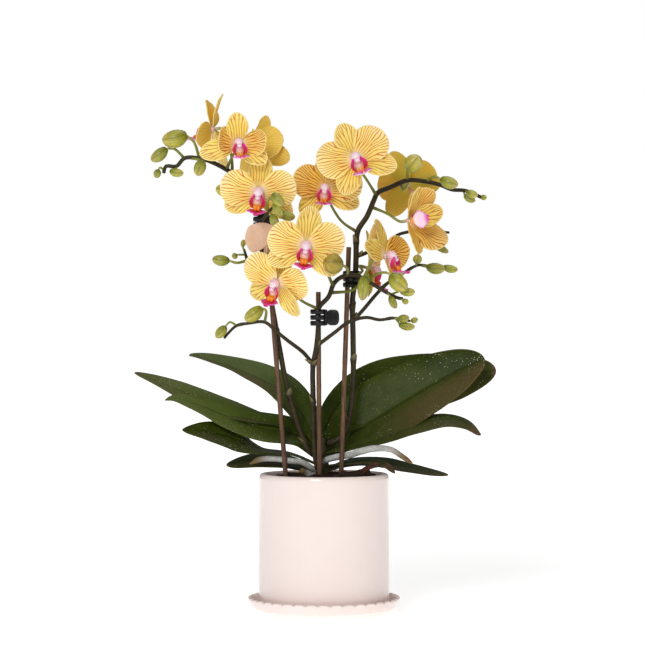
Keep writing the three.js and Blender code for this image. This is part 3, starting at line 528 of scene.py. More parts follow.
FLECKS = effect(
    "flecks",
    {"Vector": (VECTOR, None), "Scale": (FLOAT, 300.0), "Amount": (FLOAT, 0.4), "Size": (FLOAT, 0.35)},
    {"Mask": FLOAT},
    build_flecks,
)


def build_veins(w, given):
    """Lines that fan out from a claw and fork once. Flat is the place on a tepal's UV map."""
    x, y, _ = w.split(given["Flat"])
    across = w.times(w.minus(x, 0.5), FLAT_SPAN)
    along = w.times(w.minus(y, FLAT_FOOT), FLAT_SPAN)
    reach = w.length(across, along)
    run = w.math("ADD", along, given["Behind"])
    stray = w.minus(w.noise(given["Flat"], 3.0, 0.0), 0.5)
    angle = w.line(stray, given["Wander"], w.math("ARCTAN2", across, run))
    turn = w.times(angle, given["Lines"])
    lots = w.node("ShaderNodeTexWhiteNoise", {"W": w.math("FLOOR", turn)}, noise_dimensions="1D")
    lot = lots.outputs["Value"]
    aside = w.minus(w.math("FRACT", turn), 0.5)
    fork = w.line(lot, 9.0, given["Fork"])
    apart = w.times(w.step(fork, w.math("ADD", fork, 8.0), reach), 0.25)
    off = w.math("ABSOLUTE", w.minus(w.math("ABSOLUTE", aside), apart))
    pitch = w.math("DIVIDE", w.math("ADD", reach, given["Behind"]), given["Lines"])
    uneven = w.noise(w.combine(turn, w.times(reach, 0.16)), 1.0, 2.0)
    half = w.times(given["Width"], w.line(uneven, 1.5, 0.25))
    line = w.minus(1.0, w.step(w.times(half, 0.4), half, w.times(off, pitch)))
    return {"Mask": w.times(line, w.step(0.24, 0.36, uneven)), "Reach": reach}


VEINS = effect(
    "forking veins",
    {"Flat": (VECTOR, None), "Lines": (FLOAT, 6.5), "Behind": (FLOAT, 4.0), "Fork": (FLOAT, 9.0),
     "Width": (FLOAT, 0.4), "Wander": (FLOAT, 0.3)},
    {"Mask": FLOAT, "Reach": FLOAT},
    build_veins,
)


def material(name, build, **constants):
    """A material on one Principled shader: constants go on its sockets, and build returns what varies."""
    made = bpy.data.materials.new(name)
    made.use_nodes = True
    wires = Wires(made.node_tree)
    shader = made.node_tree.nodes["Principled BSDF"]
    for key, value in constants.items():
        shader.inputs[key.replace("_", " ").title().replace("Ior", "IOR")].default_value = value
    for key, value in build(wires).items():
        wires.feed(shader.inputs[key], value)
    return made


# ---------------------------------------------------------------- finishes


def mottled(w, place, colour, other, scale, amount):
    return w.group(MOTTLE, vector=place, colour=colour, other=other, scale=scale, amount=amount)["Colour"]


def flecked(w, place, scale, amount, size):
    return w.group(FLECKS, vector=place, scale=scale, amount=amount, size=size)["Mask"]


def surface(w, colour, grain, rough, bump=None):
    """What varies over a piece. rough is what its grain adds to its roughness, and the least that this is.
    bump, where the grain stands up, is its strength and its height in millimetres."""
    varies = {"Base Color": colour, "Roughness": w.line(grain, *rough)}
    if bump:
        varies["Normal"] = w.bump(grain, *bump)
    return varies


def glaze_look(w):
    place = w.place()
    tint = mottled(w, place, srgb(252, 236, 230), srgb(248, 228, 220), 9.0, 0.4)
    sag = w.noise(place, 34.0, 2.0)
    return surface(w, tint, sag, (0.12, 0.14), (0.08, 0.5))


def liner_look(w):
    place = w.place()
    grain = w.noise(place, 900.0, 2.0)
    dusty = mottled(w, place, srgb(30, 28, 27), srgb(54, 48, 43), 45.0, 0.6)
    return surface(w, dusty, grain, (0.25, 0.4), (0.25, 0.1))


def stretched(w, place, *factors):
    return w.node("ShaderNodeVectorMath", {0: place, 1: factors}, operation="MULTIPLY").outputs[0]


def bark_look(w):
    place = w.place()
    fibres = w.noise(stretched(w, place, 1.0, 1.0, 5.0), 260.0, 4.0, 0.4, 0.65)
    tint = mottled(w, place, srgb(34, 22, 16), srgb(62, 39, 26), 70.0, 0.85)
    worn = w.mix(w.step(0.55, 0.75, fibres), tint, srgb(86, 58, 39))
    colour = w.mix(w.step(0.46, 0.3, fibres), worn, srgb(20, 13, 10))
    return surface(w, colour, fibres, (0.2, 0.72), (0.8, 0.9))


def flake_look(w):
    place = w.place()
    fibres = w.noise(stretched(w, place, 0.5, 3.0, 3.0), 240.0, 4.0, 0.3, 0.65)
    tint = mottled(w, place, srgb(62, 30, 16), srgb(124, 60, 27), 80.0, 0.8)
    colour = w.mix(w.step(0.52, 0.36, fibres), tint, srgb(40, 21, 14))
    return surface(w, colour, fibres, (0.2, 0.55), (0.8, 0.8))


def bamboo_look(w):
    place = w.place()
    streaks = w.noise(stretched(w, place, 9.0, 9.0, 0.35), 110.0, 3.0)
    tint = mottled(w, place, srgb(112, 78, 49), srgb(84, 54, 34), 40.0, 0.8)
    colour = w.mix(w.step(0.5, 0.68, streaks), tint, srgb(56, 34, 23))
    return surface(w, colour, streaks, (0.25, 0.42), (0.45, 0.25))


def clip_look(w):
    grain = w.noise(w.place(), 1400.0, 2.0)
    colour = w.mix(grain, srgb(6, 6, 8), srgb(16, 16, 18))
    return surface(w, colour, grain, (0.16, 0.2), (0.12, 0.05))


def card_look(w):
    place = w.place()
    fibres = w.noise(place, 620.0, 4.0, 0.8, 0.7)
    tint = mottled(w, place, srgb(230, 194, 166), srgb(218, 178, 148), 120.0, 0.8)
    hairs = flecked(w, place, 900.0, 0.25, 0.4)
    colour = w.mix(w.times(hairs, 0.5), tint, srgb(196, 146, 108))
    return surface(w, colour, fibres, (0.15, 0.78), (0.35, 0.12))


def leaf_look(w):
    place = w.place()
    u, v, _ = w.split(w.uv())
    middle = w.from_middle(u)
    top = mottled(w, place, srgb(40, 53, 6), srgb(61, 73, 16), 14.0, 0.9)
    # Painted sheen: the outer part of the leaf is lightened as much as its light mark says.
    lit = w.mix(w.mark("light"), top, srgb(106, 126, 56))
    worn = w.mix(w.mark("brown"), lit, srgb(94, 76, 52))
    nerves = w.noise(w.combine(w.times(u, 60.0), w.times(v, 1.6)), 1.0, 2.0)
    # Painted shade darkens the leaf along the midrib's groove.
    groove_shaded = w.mix(w.times(w.step(0.07, 0.0, middle), 0.6), worn, srgb(30, 38, 15))
    lined = w.mix(w.times(w.step(0.52, 0.7, nerves), 0.3), groove_shaded, srgb(38, 48, 20))
    crowded = w.line(w.step(0.46, 0.62, w.noise(place, 24.0, 2.0)), 0.55, 0.1)
    specks = flecked(w, place, 780.0, 0.42, 0.36)
    dusty = w.mix(w.times(specks, crowded), lined, srgb(214, 214, 196))
    edge = w.times(w.step(0.93, 0.985, middle), w.step(0.5, 0.95, v))
    edged = w.mix(w.times(edge, 0.7), dusty, srgb(146, 108, 70))
    under = mottled(w, place, srgb(126, 103, 72), srgb(88, 86, 46), 30.0, 0.9)
    return surface(w, w.mix(w.mark("under"), edged, under), nerves, (0.16, 0.3), (0.3, 0.5))


def crown_look(w):
    place = w.place()
    tint = mottled(w, place, srgb(84, 88, 44), srgb(70, 52, 36), 60.0, 0.9)
    rough = w.noise(place, 200.0, 3.0)
    return surface(w, tint, rough, (0.25, 0.45), (0.4, 0.4))


def root_look(w):
    place = w.place()
    _, v, _ = w.split(w.uv())
    skin = mottled(w, place, srgb(212, 213, 209), srgb(156, 156, 149), 90.0, 0.8)
    cracks = w.noise(place, 700.0, 4.0, 0.5, 0.7)
    stained = w.mix(w.step(0.58, 0.72, cracks), skin, srgb(118, 104, 82))
    tip = w.mix(w.step(0.64, 0.94, v), stained, srgb(112, 86, 48))
    return surface(w, tip, cracks, (0.2, 0.68), (0.5, 0.3))


def stem_look(w):
    place = w.place()
    bark = mottled(w, place, srgb(48, 40, 27), srgb(66, 60, 36), 55.0, 0.75)
    specks = flecked(w, place, 620.0, 0.3, 0.3)
    fine = w.noise(place, 800.0, 2.0)
    colour = w.mix(w.times(specks, 0.3), bark, srgb(124, 108, 84))
    return surface(w, colour, fine, (0.2, 0.26), (0.25, 0.15))


def bract_look(w):
    _, v, _ = w.split(w.uv())
    tint = w.mix(w.step(0.0, 0.9, v), srgb(70, 60, 38), srgb(122, 108, 70))
    fine = w.noise(w.place(), 900.0, 2.0)
    colour = w.mix(w.times(fine, 0.4), tint, srgb(110, 92, 62))
    return surface(w, colour, fine, (0.2, 0.42), (0.25, 0.15))


def flower_stalk_look(w):
    place = w.place()
    _, v, _ = w.split(w.uv())
    tint = w.ramp(v, [(0.0, 88, 78, 42), (0.25, 122, 128, 46), (0.75, 150, 156, 70),
                      (1.0, 206, 196, 140)])
    fine = w.noise(place, 700.0, 2.0)
    colour = w.mix(w.times(fine, 0.35), tint, srgb(96, 96, 36))
    return surface(w, colour, fine, (0.2, 0.32), (0.2, 0.12))


def bud_look(w, skin, shade):
    """A bud's skin from its stalk to its tip, with faint nerves and seams in the shade's colour, and painted
    shade beside each seam where one sepal tucks under the next.
    """
    place = w.place()
    u, v, _ = w.split(w.uv())
    tint = w.ramp(v, skin)
    clouded = mottled(w, place, tint, shade, 70.0, 0.4)
    third = w.math("FRACT", w.times(u, 3.0))
    seam = w.math("ABSOLUTE", w.minus(third, 0.5))
    nerves = w.noise(w.combine(w.times(u, 26.0), w.times(v, 1.2)), 1.0, 2.0)
    veined = w.mix(w.times(w.step(0.5, 0.64, nerves), 0.3), clouded, shade)
    # Painted shade on one side of each seam, where one sepal tucks under the next.
    overlap_shade_mask = w.times(w.step(0.5, 0.51, third), w.step(0.85, 0.5, third))
    overlap_shaded = w.mix(w.times(overlap_shade_mask, 0.5), veined, shade)
    colour = w.mix(w.times(w.step(0.04, 0.01, seam), 0.7), overlap_shaded, shade)
    return surface(w, colour, nerves, (0.2, 0.28), (0.25, 0.3))


def bud_skin(name, skin, shade):
    return material(name, lambda w: bud_look(w, skin, srgb(*shade)), specular_ior_level=0.5)


def petal_look(w):
    tone = w.mark("tone")
    margin = w.mark("margin")
    sepal = w.mark("sepal")
    veins = w.group(
        VEINS, flat=w.uv(), lines=w.line(sepal, 6.0, 6.6),
        behind=w.line(sepal, 12.0, 5.0), fork=w.line(sepal, 10.0, 9.0),
        width=w.line(tone, 0.12, 0.42), wander=w.line(sepal, -0.1, 0.2),
    )
    reach = w.times(veins["Reach"], 1 / FLAT_SPAN)
    pale = w.ramp(reach, [(0.0, 240, 208, 222), (0.1, 248, 230, 216), (0.18, 254, 230, 156),
                          (0.32, 255, 228, 118), (0.6, 255, 232, 142), (0.9, 255, 238, 186)])
    deep = w.ramp(reach, [(0.0, 236, 198, 200), (0.11, 240, 206, 130), (0.22, 230, 178, 46),
                          (0.5, 226, 176, 54), (0.9, 230, 188, 84)])
    ground = w.mix(tone, pale, deep)
    greener = w.mix(w.times(sepal, 0.35), ground, srgb(236, 220, 100))
    soft = mottled(w, w.place(), greener, srgb(250, 208, 108), 40.0, 0.25)
    lipped = w.mix(w.times(w.step(0.7, 1.0, margin), 0.4), soft, srgb(254, 230, 168))
    red = w.mix(tone, srgb(210, 88, 50), srgb(158, 54, 24))
    ink = w.mix(w.times(sepal, 0.5), red, srgb(176, 108, 40))
    clear = w.times(w.step(0.14, 0.26, reach), w.step(0.98, 0.74, margin))
    strength = w.times(clear, w.line(sepal, -0.1, 0.9))
    colour = w.mix(w.times(veins["Mask"], strength), lipped, ink)
    return surface(w, colour, veins["Mask"], (0.08, 0.5), (0.2, -0.12))


def petal_back_look(w):
    tone = w.mark("tone")
    sepal = w.mark("sepal")
    veins = w.group(VEINS, flat=w.uv(), lines=9.0, behind=8.0, fork=12.0, width=0.4, wander=0.12)
    reach = w.times(veins["Reach"], 1 / FLAT_SPAN)
    pale = w.ramp(reach, [(0.0, 222, 206, 96), (0.25, 242, 198, 78), (0.6, 248, 208, 98),
                          (0.9, 250, 220, 128)])
    deep = w.ramp(reach, [(0.0, 204, 190, 84), (0.25, 190, 168, 42), (0.6, 204, 170, 44),
                          (0.9, 220, 182, 66)])
    ground = w.mix(tone, pale, deep)
    olive = w.mix(w.times(w.times(sepal, tone), 0.6), ground, srgb(190, 172, 54))
    colour = w.mix(w.times(veins["Mask"], 0.25), olive, srgb(160, 122, 34))
    return surface(w, colour, veins["Mask"], (0.08, 0.5), (0.25, 0.2))


def column_look(w):
    _, v, _ = w.split(w.uv())
    body = w.ramp(v, [(0.0, 226, 172, 178), (0.45, 240, 200, 212), (1.0, 249, 228, 234)])
    specks = flecked(w, w.place(), 1100.0, 0.3, 0.3)
    return surface(w, w.mix(w.times(specks, 0.3), body, srgb(220, 120, 168)), specks, (0.1, 0.4))


def side_lobe_look(w):
    u, v, _ = w.split(w.uv())
    outer = w.ramp(v, [(0.0, 236, 128, 50), (0.2, 216, 40, 56), (0.55, 220, 30, 112),
                       (1.0, 236, 52, 168)])
    streaks = w.noise(w.combine(w.times(u, 16.0), w.times(v, 2.0)), 1.0, 2.0)
    colour = w.mix(w.times(w.step(0.52, 0.72, streaks), 0.2), outer, srgb(248, 170, 214))
    return surface(w, colour, streaks, (0.15, 0.4))


def throat_look(w):
    _, v, _ = w.split(w.uv())
    body = w.ramp(v, [(0.0, 222, 150, 168), (0.45, 238, 194, 190), (0.75, 247, 200, 124),
                      (1.0, 242, 150, 48)])
    specks = flecked(w, w.place(), 900.0, 0.3, 0.34)
    return surface(w, w.mix(w.times(specks, 0.4), body, srgb(206, 80, 60)), specks, (0.1, 0.42))


def callus_look(w):
    bumps = w.noise(w.place(), 700.0, 2.0)
    return surface(w, w.mix(bumps, srgb(255, 172, 20), srgb(244, 120, 22)), bumps, (0.2, 0.3))


def middle_lobe_look(w):
    u, v, _ = w.split(w.uv())
    across = w.from_middle(u)
    body = w.ramp(v, [(0.0, 246, 146, 44), (0.2, 232, 70, 56), (0.5, 230, 48, 104),
                      (1.0, 230, 60, 164)])
    red = w.mix(w.step(0.5, 1.0, across), body, srgb(234, 92, 182))
    lilac = w.mix(w.step(0.2, 0.9, across), srgb(246, 206, 226), srgb(226, 92, 190))
    return surface(w, w.mix(w.mark("lilac"), red, lilac), across, (0.1, 0.38))


def middle_lobe_under_look(w):
    u, v, _ = w.split(w.uv())
    across = w.from_middle(u)
    body = w.ramp(v, [(0.0, 246, 176, 110), (0.14, 250, 226, 234), (0.66, 246, 208, 232),
                      (0.9, 226, 100, 190), (1.0, 206, 40, 148)])
    colour = w.mix(w.times(w.step(0.7, 1.0, across), 0.6), body, srgb(226, 90, 176))
    return surface(w, colour, across, (0.1, 0.4))


SOFT = {"subsurface_weight": 0.12, "subsurface_scale": 0.004}
GLAZE = material("pale pink glaze", glaze_look, coat_weight=0.2, coat_roughness=0.12)
LINER = material("nursery pot plastic", liner_look)
BARK = material("fir bark", bark_look, specular_ior_level=0.25)
FLAKE_BARK = material("brown bark flake", flake_look, specular_ior_level=0.25)
BAMBOO = material("stained bamboo", bamboo_look)
CLIP_PLASTIC = material("black clip plastic", clip_look, specular_ior_level=0.3)
CARD = material("kraft card", card_look)
LEAF = material("orchid leaf", leaf_look, specular_ior_level=0.09)
CROWN_SKIN = material("crown skin", crown_look)
ROOT_SKIN = material("air root skin", root_look)
STEM_SKIN = material("flower spike skin", stem_look, specular_ior_level=0.15)
BRACT_SKIN = material("bract skin", bract_look)
FLOWER_STALK_SKIN = material("flower stalk skin", flower_stalk_look, specular_ior_level=0.25)
YOUNG_BUD_SKIN = bud_skin(
    "young bud skin",
    [(0.0, 108, 116, 32), (0.3, 156, 160, 50), (0.7, 184, 180, 74), (1.0, 204, 184, 100)],
    (96, 96, 26),
)
SWELLING_BUD_SKIN = bud_skin(
    "swelling bud skin",
    [(0.0, 122, 132, 34), (0.3, 168, 168, 50), (0.7, 192, 180, 72), (1.0, 212, 196, 106)],
    (112, 110, 26),
)
BROWN_BUD_SKIN = bud_skin(
    "brown bud skin",
    [(0.0, 104, 112, 30), (0.35, 152, 142, 40), (0.75, 184, 160, 50), (1.0, 196, 166, 60)],
    (94, 78, 22),
)
PETAL = material("petal face", petal_look, specular_ior_level=0.2, **SOFT)
PETAL_BACK = material("petal back", petal_back_look, specular_ior_level=0.2, **SOFT)
COLUMN_SKIN = material("column", column_look, **SOFT)
SIDE_LOBE_SKIN = material("side lobe", side_lobe_look)
THROAT_SKIN = material("throat", throat_look)
CALLUS_SKIN = material("callus", callus_look)
MIDDLE_LOBE_SKIN = material("middle lobe", middle_lobe_look)
MIDDLE_LOBE_UNDER = material("middle lobe underside", middle_lobe_under_look)

# ---------------------------------------------------------------- saucer, pot and nursery pot

SAUCER_SHAPE = {
    "rim": 65.5, "foot": 52, "waist": 61, "wall": 2.6, "floor": 5, "height": 14.2, "well": 58,
    "scallops": 38, "dip": 1.4, "flute": 0.7, "steps_each": 8,
}
POT_SHAPE = {"radius": 56, "wall": 6.5, "floor": 7, "rim": 120, "edge": 2.4, "steps": 144}
LINER_SHAPE = {"foot": 34, "shoulder": 44.4, "lip": 47.6, "wall": 1, "lip_height": 2, "rim": 116.5,
               "steps": 96}
GAP = 0.35
LINER_BASE = SAUCER_SHAPE["floor"] + GAP + POT_SHAPE["floor"] + GAP


def saucer():
    s = SAUCER_SHAPE
    edge = s["height"] - 0.7
    profile = [
        (0, 0.8, 0), (s["foot"] - 6, 0.8, 1), (s["foot"] - 4, 0, 0.5), (s["foot"], 0, 0.9),
        (s["foot"] + 4.5, 2.6, 2), (s["waist"], s["floor"], 2.5), (s["rim"] - 1.2, edge - 2.6, 2),
        (s["rim"], edge, 0.8), (s["rim"] - 1, s["height"] + 0.25, 0.7),
        (s["rim"] - s["wall"], s["height"] - 0.3, 0.8),
        (s["well"] + 1.5, s["floor"] + 1, 2.5), (s["well"] - 4, s["floor"], 2), (0, s["floor"], 0),
    ]
    piece = turned_profile("saucer_glazed", profile, s["scallops"] * s["steps_each"])
    for vertex in piece.data.vertices:
        x, y, z = vertex.co / MM
        radius = math.hypot(x, y)
        if radius < s["foot"] + 3:
            continue
        wave = math.cos(s["scallops"] * math.atan2(y, x))
        valley = max(wave, 0) ** 2.2 * 0.75 + (0.5 + 0.5 * wave) * 0.25
        height = smooth(s["floor"] + 1, s["height"], z)
        inwards = 1 - s["flute"] * valley * (0.35 + 0.65 * height) / radius
        vertex.co = Vector((x * inwards, y * inwards, z - s["dip"] * valley * height)) * MM
    return stands_for(paint(piece, GLAZE), "glaze", "saucer")


def pot():
    p = POT_SHAPE
    base = SAUCER_SHAPE["floor"] + GAP
    inside = p["radius"] - p["wall"]
    profile = [
        (0, base + 1, 0), (p["radius"] - 9, base + 1, 0.6), (p["radius"] - 7.5, base, 0.5),
        (p["radius"] - p["edge"], base, 1), (p["radius"], base + p["edge"], 1.6),
        (p["radius"], p["rim"] - p["edge"], 2.2), (p["radius"] - 1.5, p["rim"], 1.5),
        (inside + 1.5, p["rim"], 1.5), (inside, p["rim"] - p["edge"], 2),
        (inside - 2, base + p["floor"] + 4, 3), (inside - 6, base + p["floor"], 3), (0, base + p["floor"], 0),
    ]
    return stands_for(paint(turned_profile("pot_glazed", profile, p["steps"]), GLAZE), "glaze", "pot")


def nursery_pot():
    n = LINER_SHAPE
    profile = [
        (0, LINER_BASE, 0), (n["foot"] - 1, LINER_BASE, 0.8), (n["foot"], LINER_BASE + 2, 0.8),
        (n["shoulder"], n["rim"] - n["lip_height"], 0.4), (n["lip"], n["rim"] - n["lip_height"], 0.5),
        (n["lip"], n["rim"], 0.6), (n["lip"] - 1, n["rim"], 0.4),
        (n["shoulder"] - n["wall"] + 0.6, n["rim"] - 0.9, 0.5),
        (n["shoulder"] - n["wall"] - 0.3, n["rim"] - 4, 0.8), (n["foot"] - n["wall"], LINER_BASE + 1, 0.8),
        (0, LINER_BASE + 1, 0),
    ]
    piece = turned_profile("nursery_pot_plastic", profile, n["steps"])
    return stands_for(paint(piece, LINER), "liner", "nursery_pot")


# ---------------------------------------------------------------- bark

# The heap is a few chips at (x, y, z) that lie higher, beside the flake.
BED = {
    "top": 113, "chips": 190, "steps": 72, "chip": (15, 9.5, 4.6),
    "heap": [(22, -27, 118.5), (29, -27, 121), (35, -23, 120.5), (27, -20, 120), (37, -17, 119)],
}
GOLDEN_ANGLE = math.pi * (3 - math.sqrt(5))
FLAKE = {"foot": (27, 116, -27), "head": (46, 128, -30), "arch": 3, "curl": 2, "half": 5, "thickness": 3.0}


def bark_chip(size, at, turn, draw):
    """One chip: a block with its edges broken unevenly and its faces split along the grain."""
    chip = primitive("cube", size=1)
    in_edit_mode(chip, lambda: bpy.ops.mesh.subdivide(number_cuts=2))
    seed = draw.uniform(0, 50)
    for vertex in chip.data.vertices:
        across = vertex.co.copy()
        soft = across.normalized() * 0.62
        place = across.lerp(soft, 0.34)
        place *= 1 + 0.22 * field.noise(across * 2.3 + Vector((seed, seed * 0.7, 0)))
        vertex.co = Vector((place.x * size[0], place.y * size[1], place.z * size[2])) * MM
    matrix = Matrix.Translation(at) @ Euler(turn).to_matrix().to_4x4()
    bpy.ops.object.shade_smooth_by_angle(angle=math.radians(38))
    return moved(chip, matrix)


def bark_bed():
    inside = LINER_SHAPE["shoulder"] - LINER_SHAPE["wall"] * 1.3 - GAP
    foot = LINER_SHAPE["foot"] - LINER_SHAPE["wall"] * 1.3 - GAP
    floor = LINER_BASE + LINER_SHAPE["wall"] + GAP
    profile = [(0, floor, 0), (foot, floor, 1), (inside - 0.4, BED["top"] - 4, 1.5), (0, BED["top"] - 2, 0)]
    bed = turned_profile("bark_bed_chips", profile, BED["steps"])
    draw = random.Random(11)
    chips = [bed]
    for i in range(BED["chips"]):
        share = (i + 0.5) / BED["chips"]
        size = [length * draw.uniform(0.55, 1.0) for length in BED["chip"]]
        out = (inside - size[0] * 0.56) * math.sqrt(share)
        angle = i * GOLDEN_ANGLE
        height = BED["top"] + 0.4 + draw.uniform(0, 1) * 4.2
        at = Vector((math.cos(angle) * out, math.sin(angle) * out, height))
        turn = (draw.uniform(-0.35, 0.35), draw.uniform(-0.35, 0.35), draw.uniform(0, math.pi))
        chips.append(bark_chip(size, at, turn, draw))
    for at in BED["heap"]:
        turn = (draw.uniform(-0.3, 0.3), draw.uniform(-0.3, 0.3), draw.uniform(0, math.pi))
        chips.append(bark_chip(BED["chip"], Vector(at), turn, draw))
    piece = joined("bark_bed_chips", [paint(chip, BARK) for chip in chips])
    return stands_for(piece, "bark", "bark_bed")


def bark_flake():
    foot, head = (Vector(FLAKE[end]) for end in ("foot", "head"))

    def place(u, v):
        side = 2 * u - 1
        x, z, y = foot.lerp(head, v)
        ragged = 0.5 * field.noise(Vector((side * 2, v * 7, 3)))
        ragged += 0.35 * field.noise(Vector((side * 5, v * 19, 8)))
        width = FLAKE["half"] * (0.78 + 0.3 * math.sin(math.pi * min(v + 0.12, 1)))
        lift = FLAKE["arch"] * math.sin(math.pi * v) - FLAKE["curl"] * side * side + ragged
        return seen(x + 0.8 * ragged * abs(side), z + lift, y + width * side)

    piece = shaped("bark_flake_curled", 14, 26, place)
    thickened(piece, FLAKE["thickness"])
    softened(piece, 0.35)
    return stands_for(paint(piece, FLAKE_BARK), "bark", "bark_flake")


# ---------------------------------------------------------------- crown, leaves and roots

CROWN = {"x": -2, "y": 2, "foot": 98, "top": 150, "radius": 6.2}
LEAF_THICKNESS = 1.7

# Each leaf has its midrib's places, its greatest width, how far its upper face tips towards the front from
# its root to its tip and how far each half folds up from the midrib from root to tip, in degrees, and, as
# worn, how brown its lower half and its outer part are and the share of its length where its brown tip
# starts. light says how much painted sheen lightens its outer part. Of its outline, belly is the share of its
# length where it is widest and neck its width at its root; blunt and taper shape its tip.
LEAVES = {
    "leaf_right_front": {
        "midrib": [(0, 137, 5), (19, 150, 14), (46, 167, 17), (85, 191, 19), (117, 209, 19), (138, 219, 17)],
        "width": 72, "tip": (46, 62), "fold": (34, 10), "belly": 0.38, "blunt": 1.6, "worn": (0.6, 0.0, 0.98),
    },
    "leaf_right_back": {
        "midrib": [(-1, 141, 6), (9, 164, 20), (38, 184, 35), (80, 196, 46), (117, 203, 49), (148, 209, 45)],
        "width": 62, "tip": (54, 64), "fold": (22, 6), "belly": 0.5, "blunt": 1.6, "worn": (0.2, 0.1, 0.96),
    },
    "leaf_right_arched": {
        "midrib": [(1, 137, -3), (20, 141.5, -7.5), (47, 149, -8), (76, 160, -8), (105, 166.5, -8),
                   (124, 162.5, -9), (135, 153, -10)],
        "width": 34, "tip": (22, 20), "fold": (14, -6), "belly": 0.55, "neck": 0.16, "blunt": 2,
        "worn": (0.3, 0.1, 0.9),
    },
    "leaf_right_short": {
        "midrib": [(0, 126, -2), (20, 128, -7), (36, 130, -10), (51, 128, -13), (61, 120, -16)],
        "width": 13, "tip": (10, 20), "fold": (18, 4), "belly": 0.6, "worn": (0.3, 0.2, 0.8),
    },
    "leaf_right_low": {
        "midrib": [(0, 121, 4), (14, 126, 7), (31, 129, 10), (53, 128, 11), (70, 125, 10), (88, 121.5, 8),
                   (107, 118.6, 4)],
        "width": 26, "tip": (18, 18), "fold": (14, 2), "belly": 0.5, "blunt": 1.6, "worn": (0.3, 0.1, 0.95),
    },
    "leaf_left_top": {
        "midrib": [(-3, 143, 4), (-21, 173, 15), (-42, 194, 22), (-72, 208, 26), (-98, 217, 24),
                   (-116, 221.5, 20)],
        "width": 43, "tip": (36, 16), "fold": (26, 14), "belly": 0.46, "blunt": 1.8,
        "worn": (0.55, 0.1, 0.96), "light": 0.4,
    },
    "leaf_left_long": {
        "midrib": [(-4, 138, 3), (-29, 158, 15), (-64, 168, 19), (-98, 180, 20), (-124, 191, 18),
                   (-145, 200, 14), (-163, 206.5, 10)],
        "width": 34, "tip": (14, 12, 26, 30, 22), "fold": (18, 4), "belly": 0.6, "blunt": 1.6,
        "worn": (0.4, 0.35, 0.95), "light": 0.6,
    },
    "leaf_left_front": {
        "midrib": [(-4, 134, 1), (-17, 149, 5), (-31, 154.5, 7), (-47, 157, 8), (-64, 161, 8),
                   (-81, 167.5, 6), (-98, 175, 4), (-116, 181.5, 0), (-130, 184.5, -3), (-137, 182.8, -4)],
        "width": 43, "tip": (34, 34, 40, 40), "fold": (16, 4), "belly": 0.34, "neck": 0.3, "blunt": 1.35,
        "taper": 0.72, "worn": (0.15, 0.1, 0.97), "light": 0.5,
    },
    "leaf_left_low": {
        "midrib": [(-4, 127, 1), (-29, 137, 2), (-50, 139, 0), (-68, 144.5, -3), (-84, 151.5, -5),
                   (-102, 156.5, -6), (-122, 157.5, -6)],
        "width": 33, "tip": (4, 3, 7, 34, 41, 36), "fold": (3, 3, 4, 8, 6), "belly": 0.6, "blunt": 1.5,
        "taper": 0.6, "worn": (0.15, 0.0, 0.97),
    },
    "leaf_left_bottom": {
        "midrib": [(-4, 120, 4), (-29, 128, 10), (-55, 131, 10), (-84, 127, 6)],
        "width": 30, "tip": (22, 24), "fold": (14, 2), "belly": 0.55, "blunt": 1.6, "worn": (0.3, 0.0, 0.96),
    },
}


def leaf_outline(v, shape):
    belly, neck = shape["belly"], shape.get("neck", 0.26)
    if v < belly:
        return neck + (1 - neck) * math.sin(math.pi / 2 * v / belly) ** (0.3 / neck)
    share = (v - belly) / (1 - belly)
    return max(1 - share ** shape.get("blunt", 2.2), 0.0) ** shape.get("taper", 0.5)


def leaf(name, shape, seed):
    route = Route(seen_all(shape["midrib"]))
    lower, outer, end = shape["worn"]

    def place(u, v):
        v = 1 - (1 - v) ** 1.6
        s = math.cos(2 * math.pi * u)
        face = math.sin(2 * math.pi * u)
        along = route.way(v)
        side = Vector((along.y, -along.x, 0)).normalized()
        lean = math.radians(spread_evenly(shape["tip"], v)) * math.copysign(1, along.x)
        side = Matrix.Rotation(lean, 3, along) @ side
        up = side.cross(along).normalized()
        half = shape["width"] / 2 * leaf_outline(v, shape)
        lift = math.radians(spread_evenly(shape["fold"], v))
        at = route.at(v)
        rise = (math.sqrt(s * s + 0.012) - 0.11) * half * math.sin(lift)
        reflex = -0.05 * half * abs(s) ** 5
        wave = 0.5 * wobble(at + side * (s * half), 24, seed) * abs(s)
        thick = LEAF_THICKNESS * (0.42 + 0.58 * (1 - s * s)) * (1 - 0.45 * v)
        groove = -0.55 * math.exp(-((s / 0.05) ** 2)) * (1 - 0.6 * v)
        skin = thick / 2 * (abs(face) ** 0.45) * math.copysign(1, face) + groove
        return at + side * (s * half * math.cos(lift)) + up * (rise + reflex + wave + skin)

    def flat(u, v):
        return (math.cos(2 * math.pi * u) + 1) / 2, v

    def brown(u, v):
        v = 1 - (1 - v) ** 1.6
        low = math.cos(2 * math.pi * u) * math.copysign(1, route.at(1).x)
        patch = lower * smooth(-0.1, 0.5, low) * smooth(0.2, 0.6, v)
        return max(patch, outer * smooth(0.45, 0.95, v), smooth(end, end + 0.04, v))

    # light marks the painted sheen on the leaf's outer part.
    marks = {"under": lambda u, v: float(u > 0.5), "brown": brown,
             "light": lambda u, v: shape.get("light", 0.0) * smooth(0.1, 0.5, v)}
    piece = shaped(f"{name}_blade", 56, 64, place, flat, marks)
    weld(piece)
    face_outwards(piece)
    return stands_for(paint(piece, LEAF), "leaf", name)


def crown():
    c = CROWN
    points = [Vector((c["x"], c["y"], lerp(c["foot"], c["top"], i / 4))) for i in range(5)]
    profile = [0.8, 0.97, 1.0, 0.85, 0.5]

    def radius(v, turn):
        folds = 1 + 0.05 * math.cos(4 * math.pi * turn + 2.2 * v) + 0.03 * math.cos(8 * math.pi * turn)
        rings = 1 + 0.03 * math.sin(26 * v)
        return c["radius"] * eased(profile, v) * folds * rings

    piece = tube("crown_stem", Route(points), radius, 32, 40)
    return stands_for(paint(piece, CROWN_SKIN), "crown", "crown")


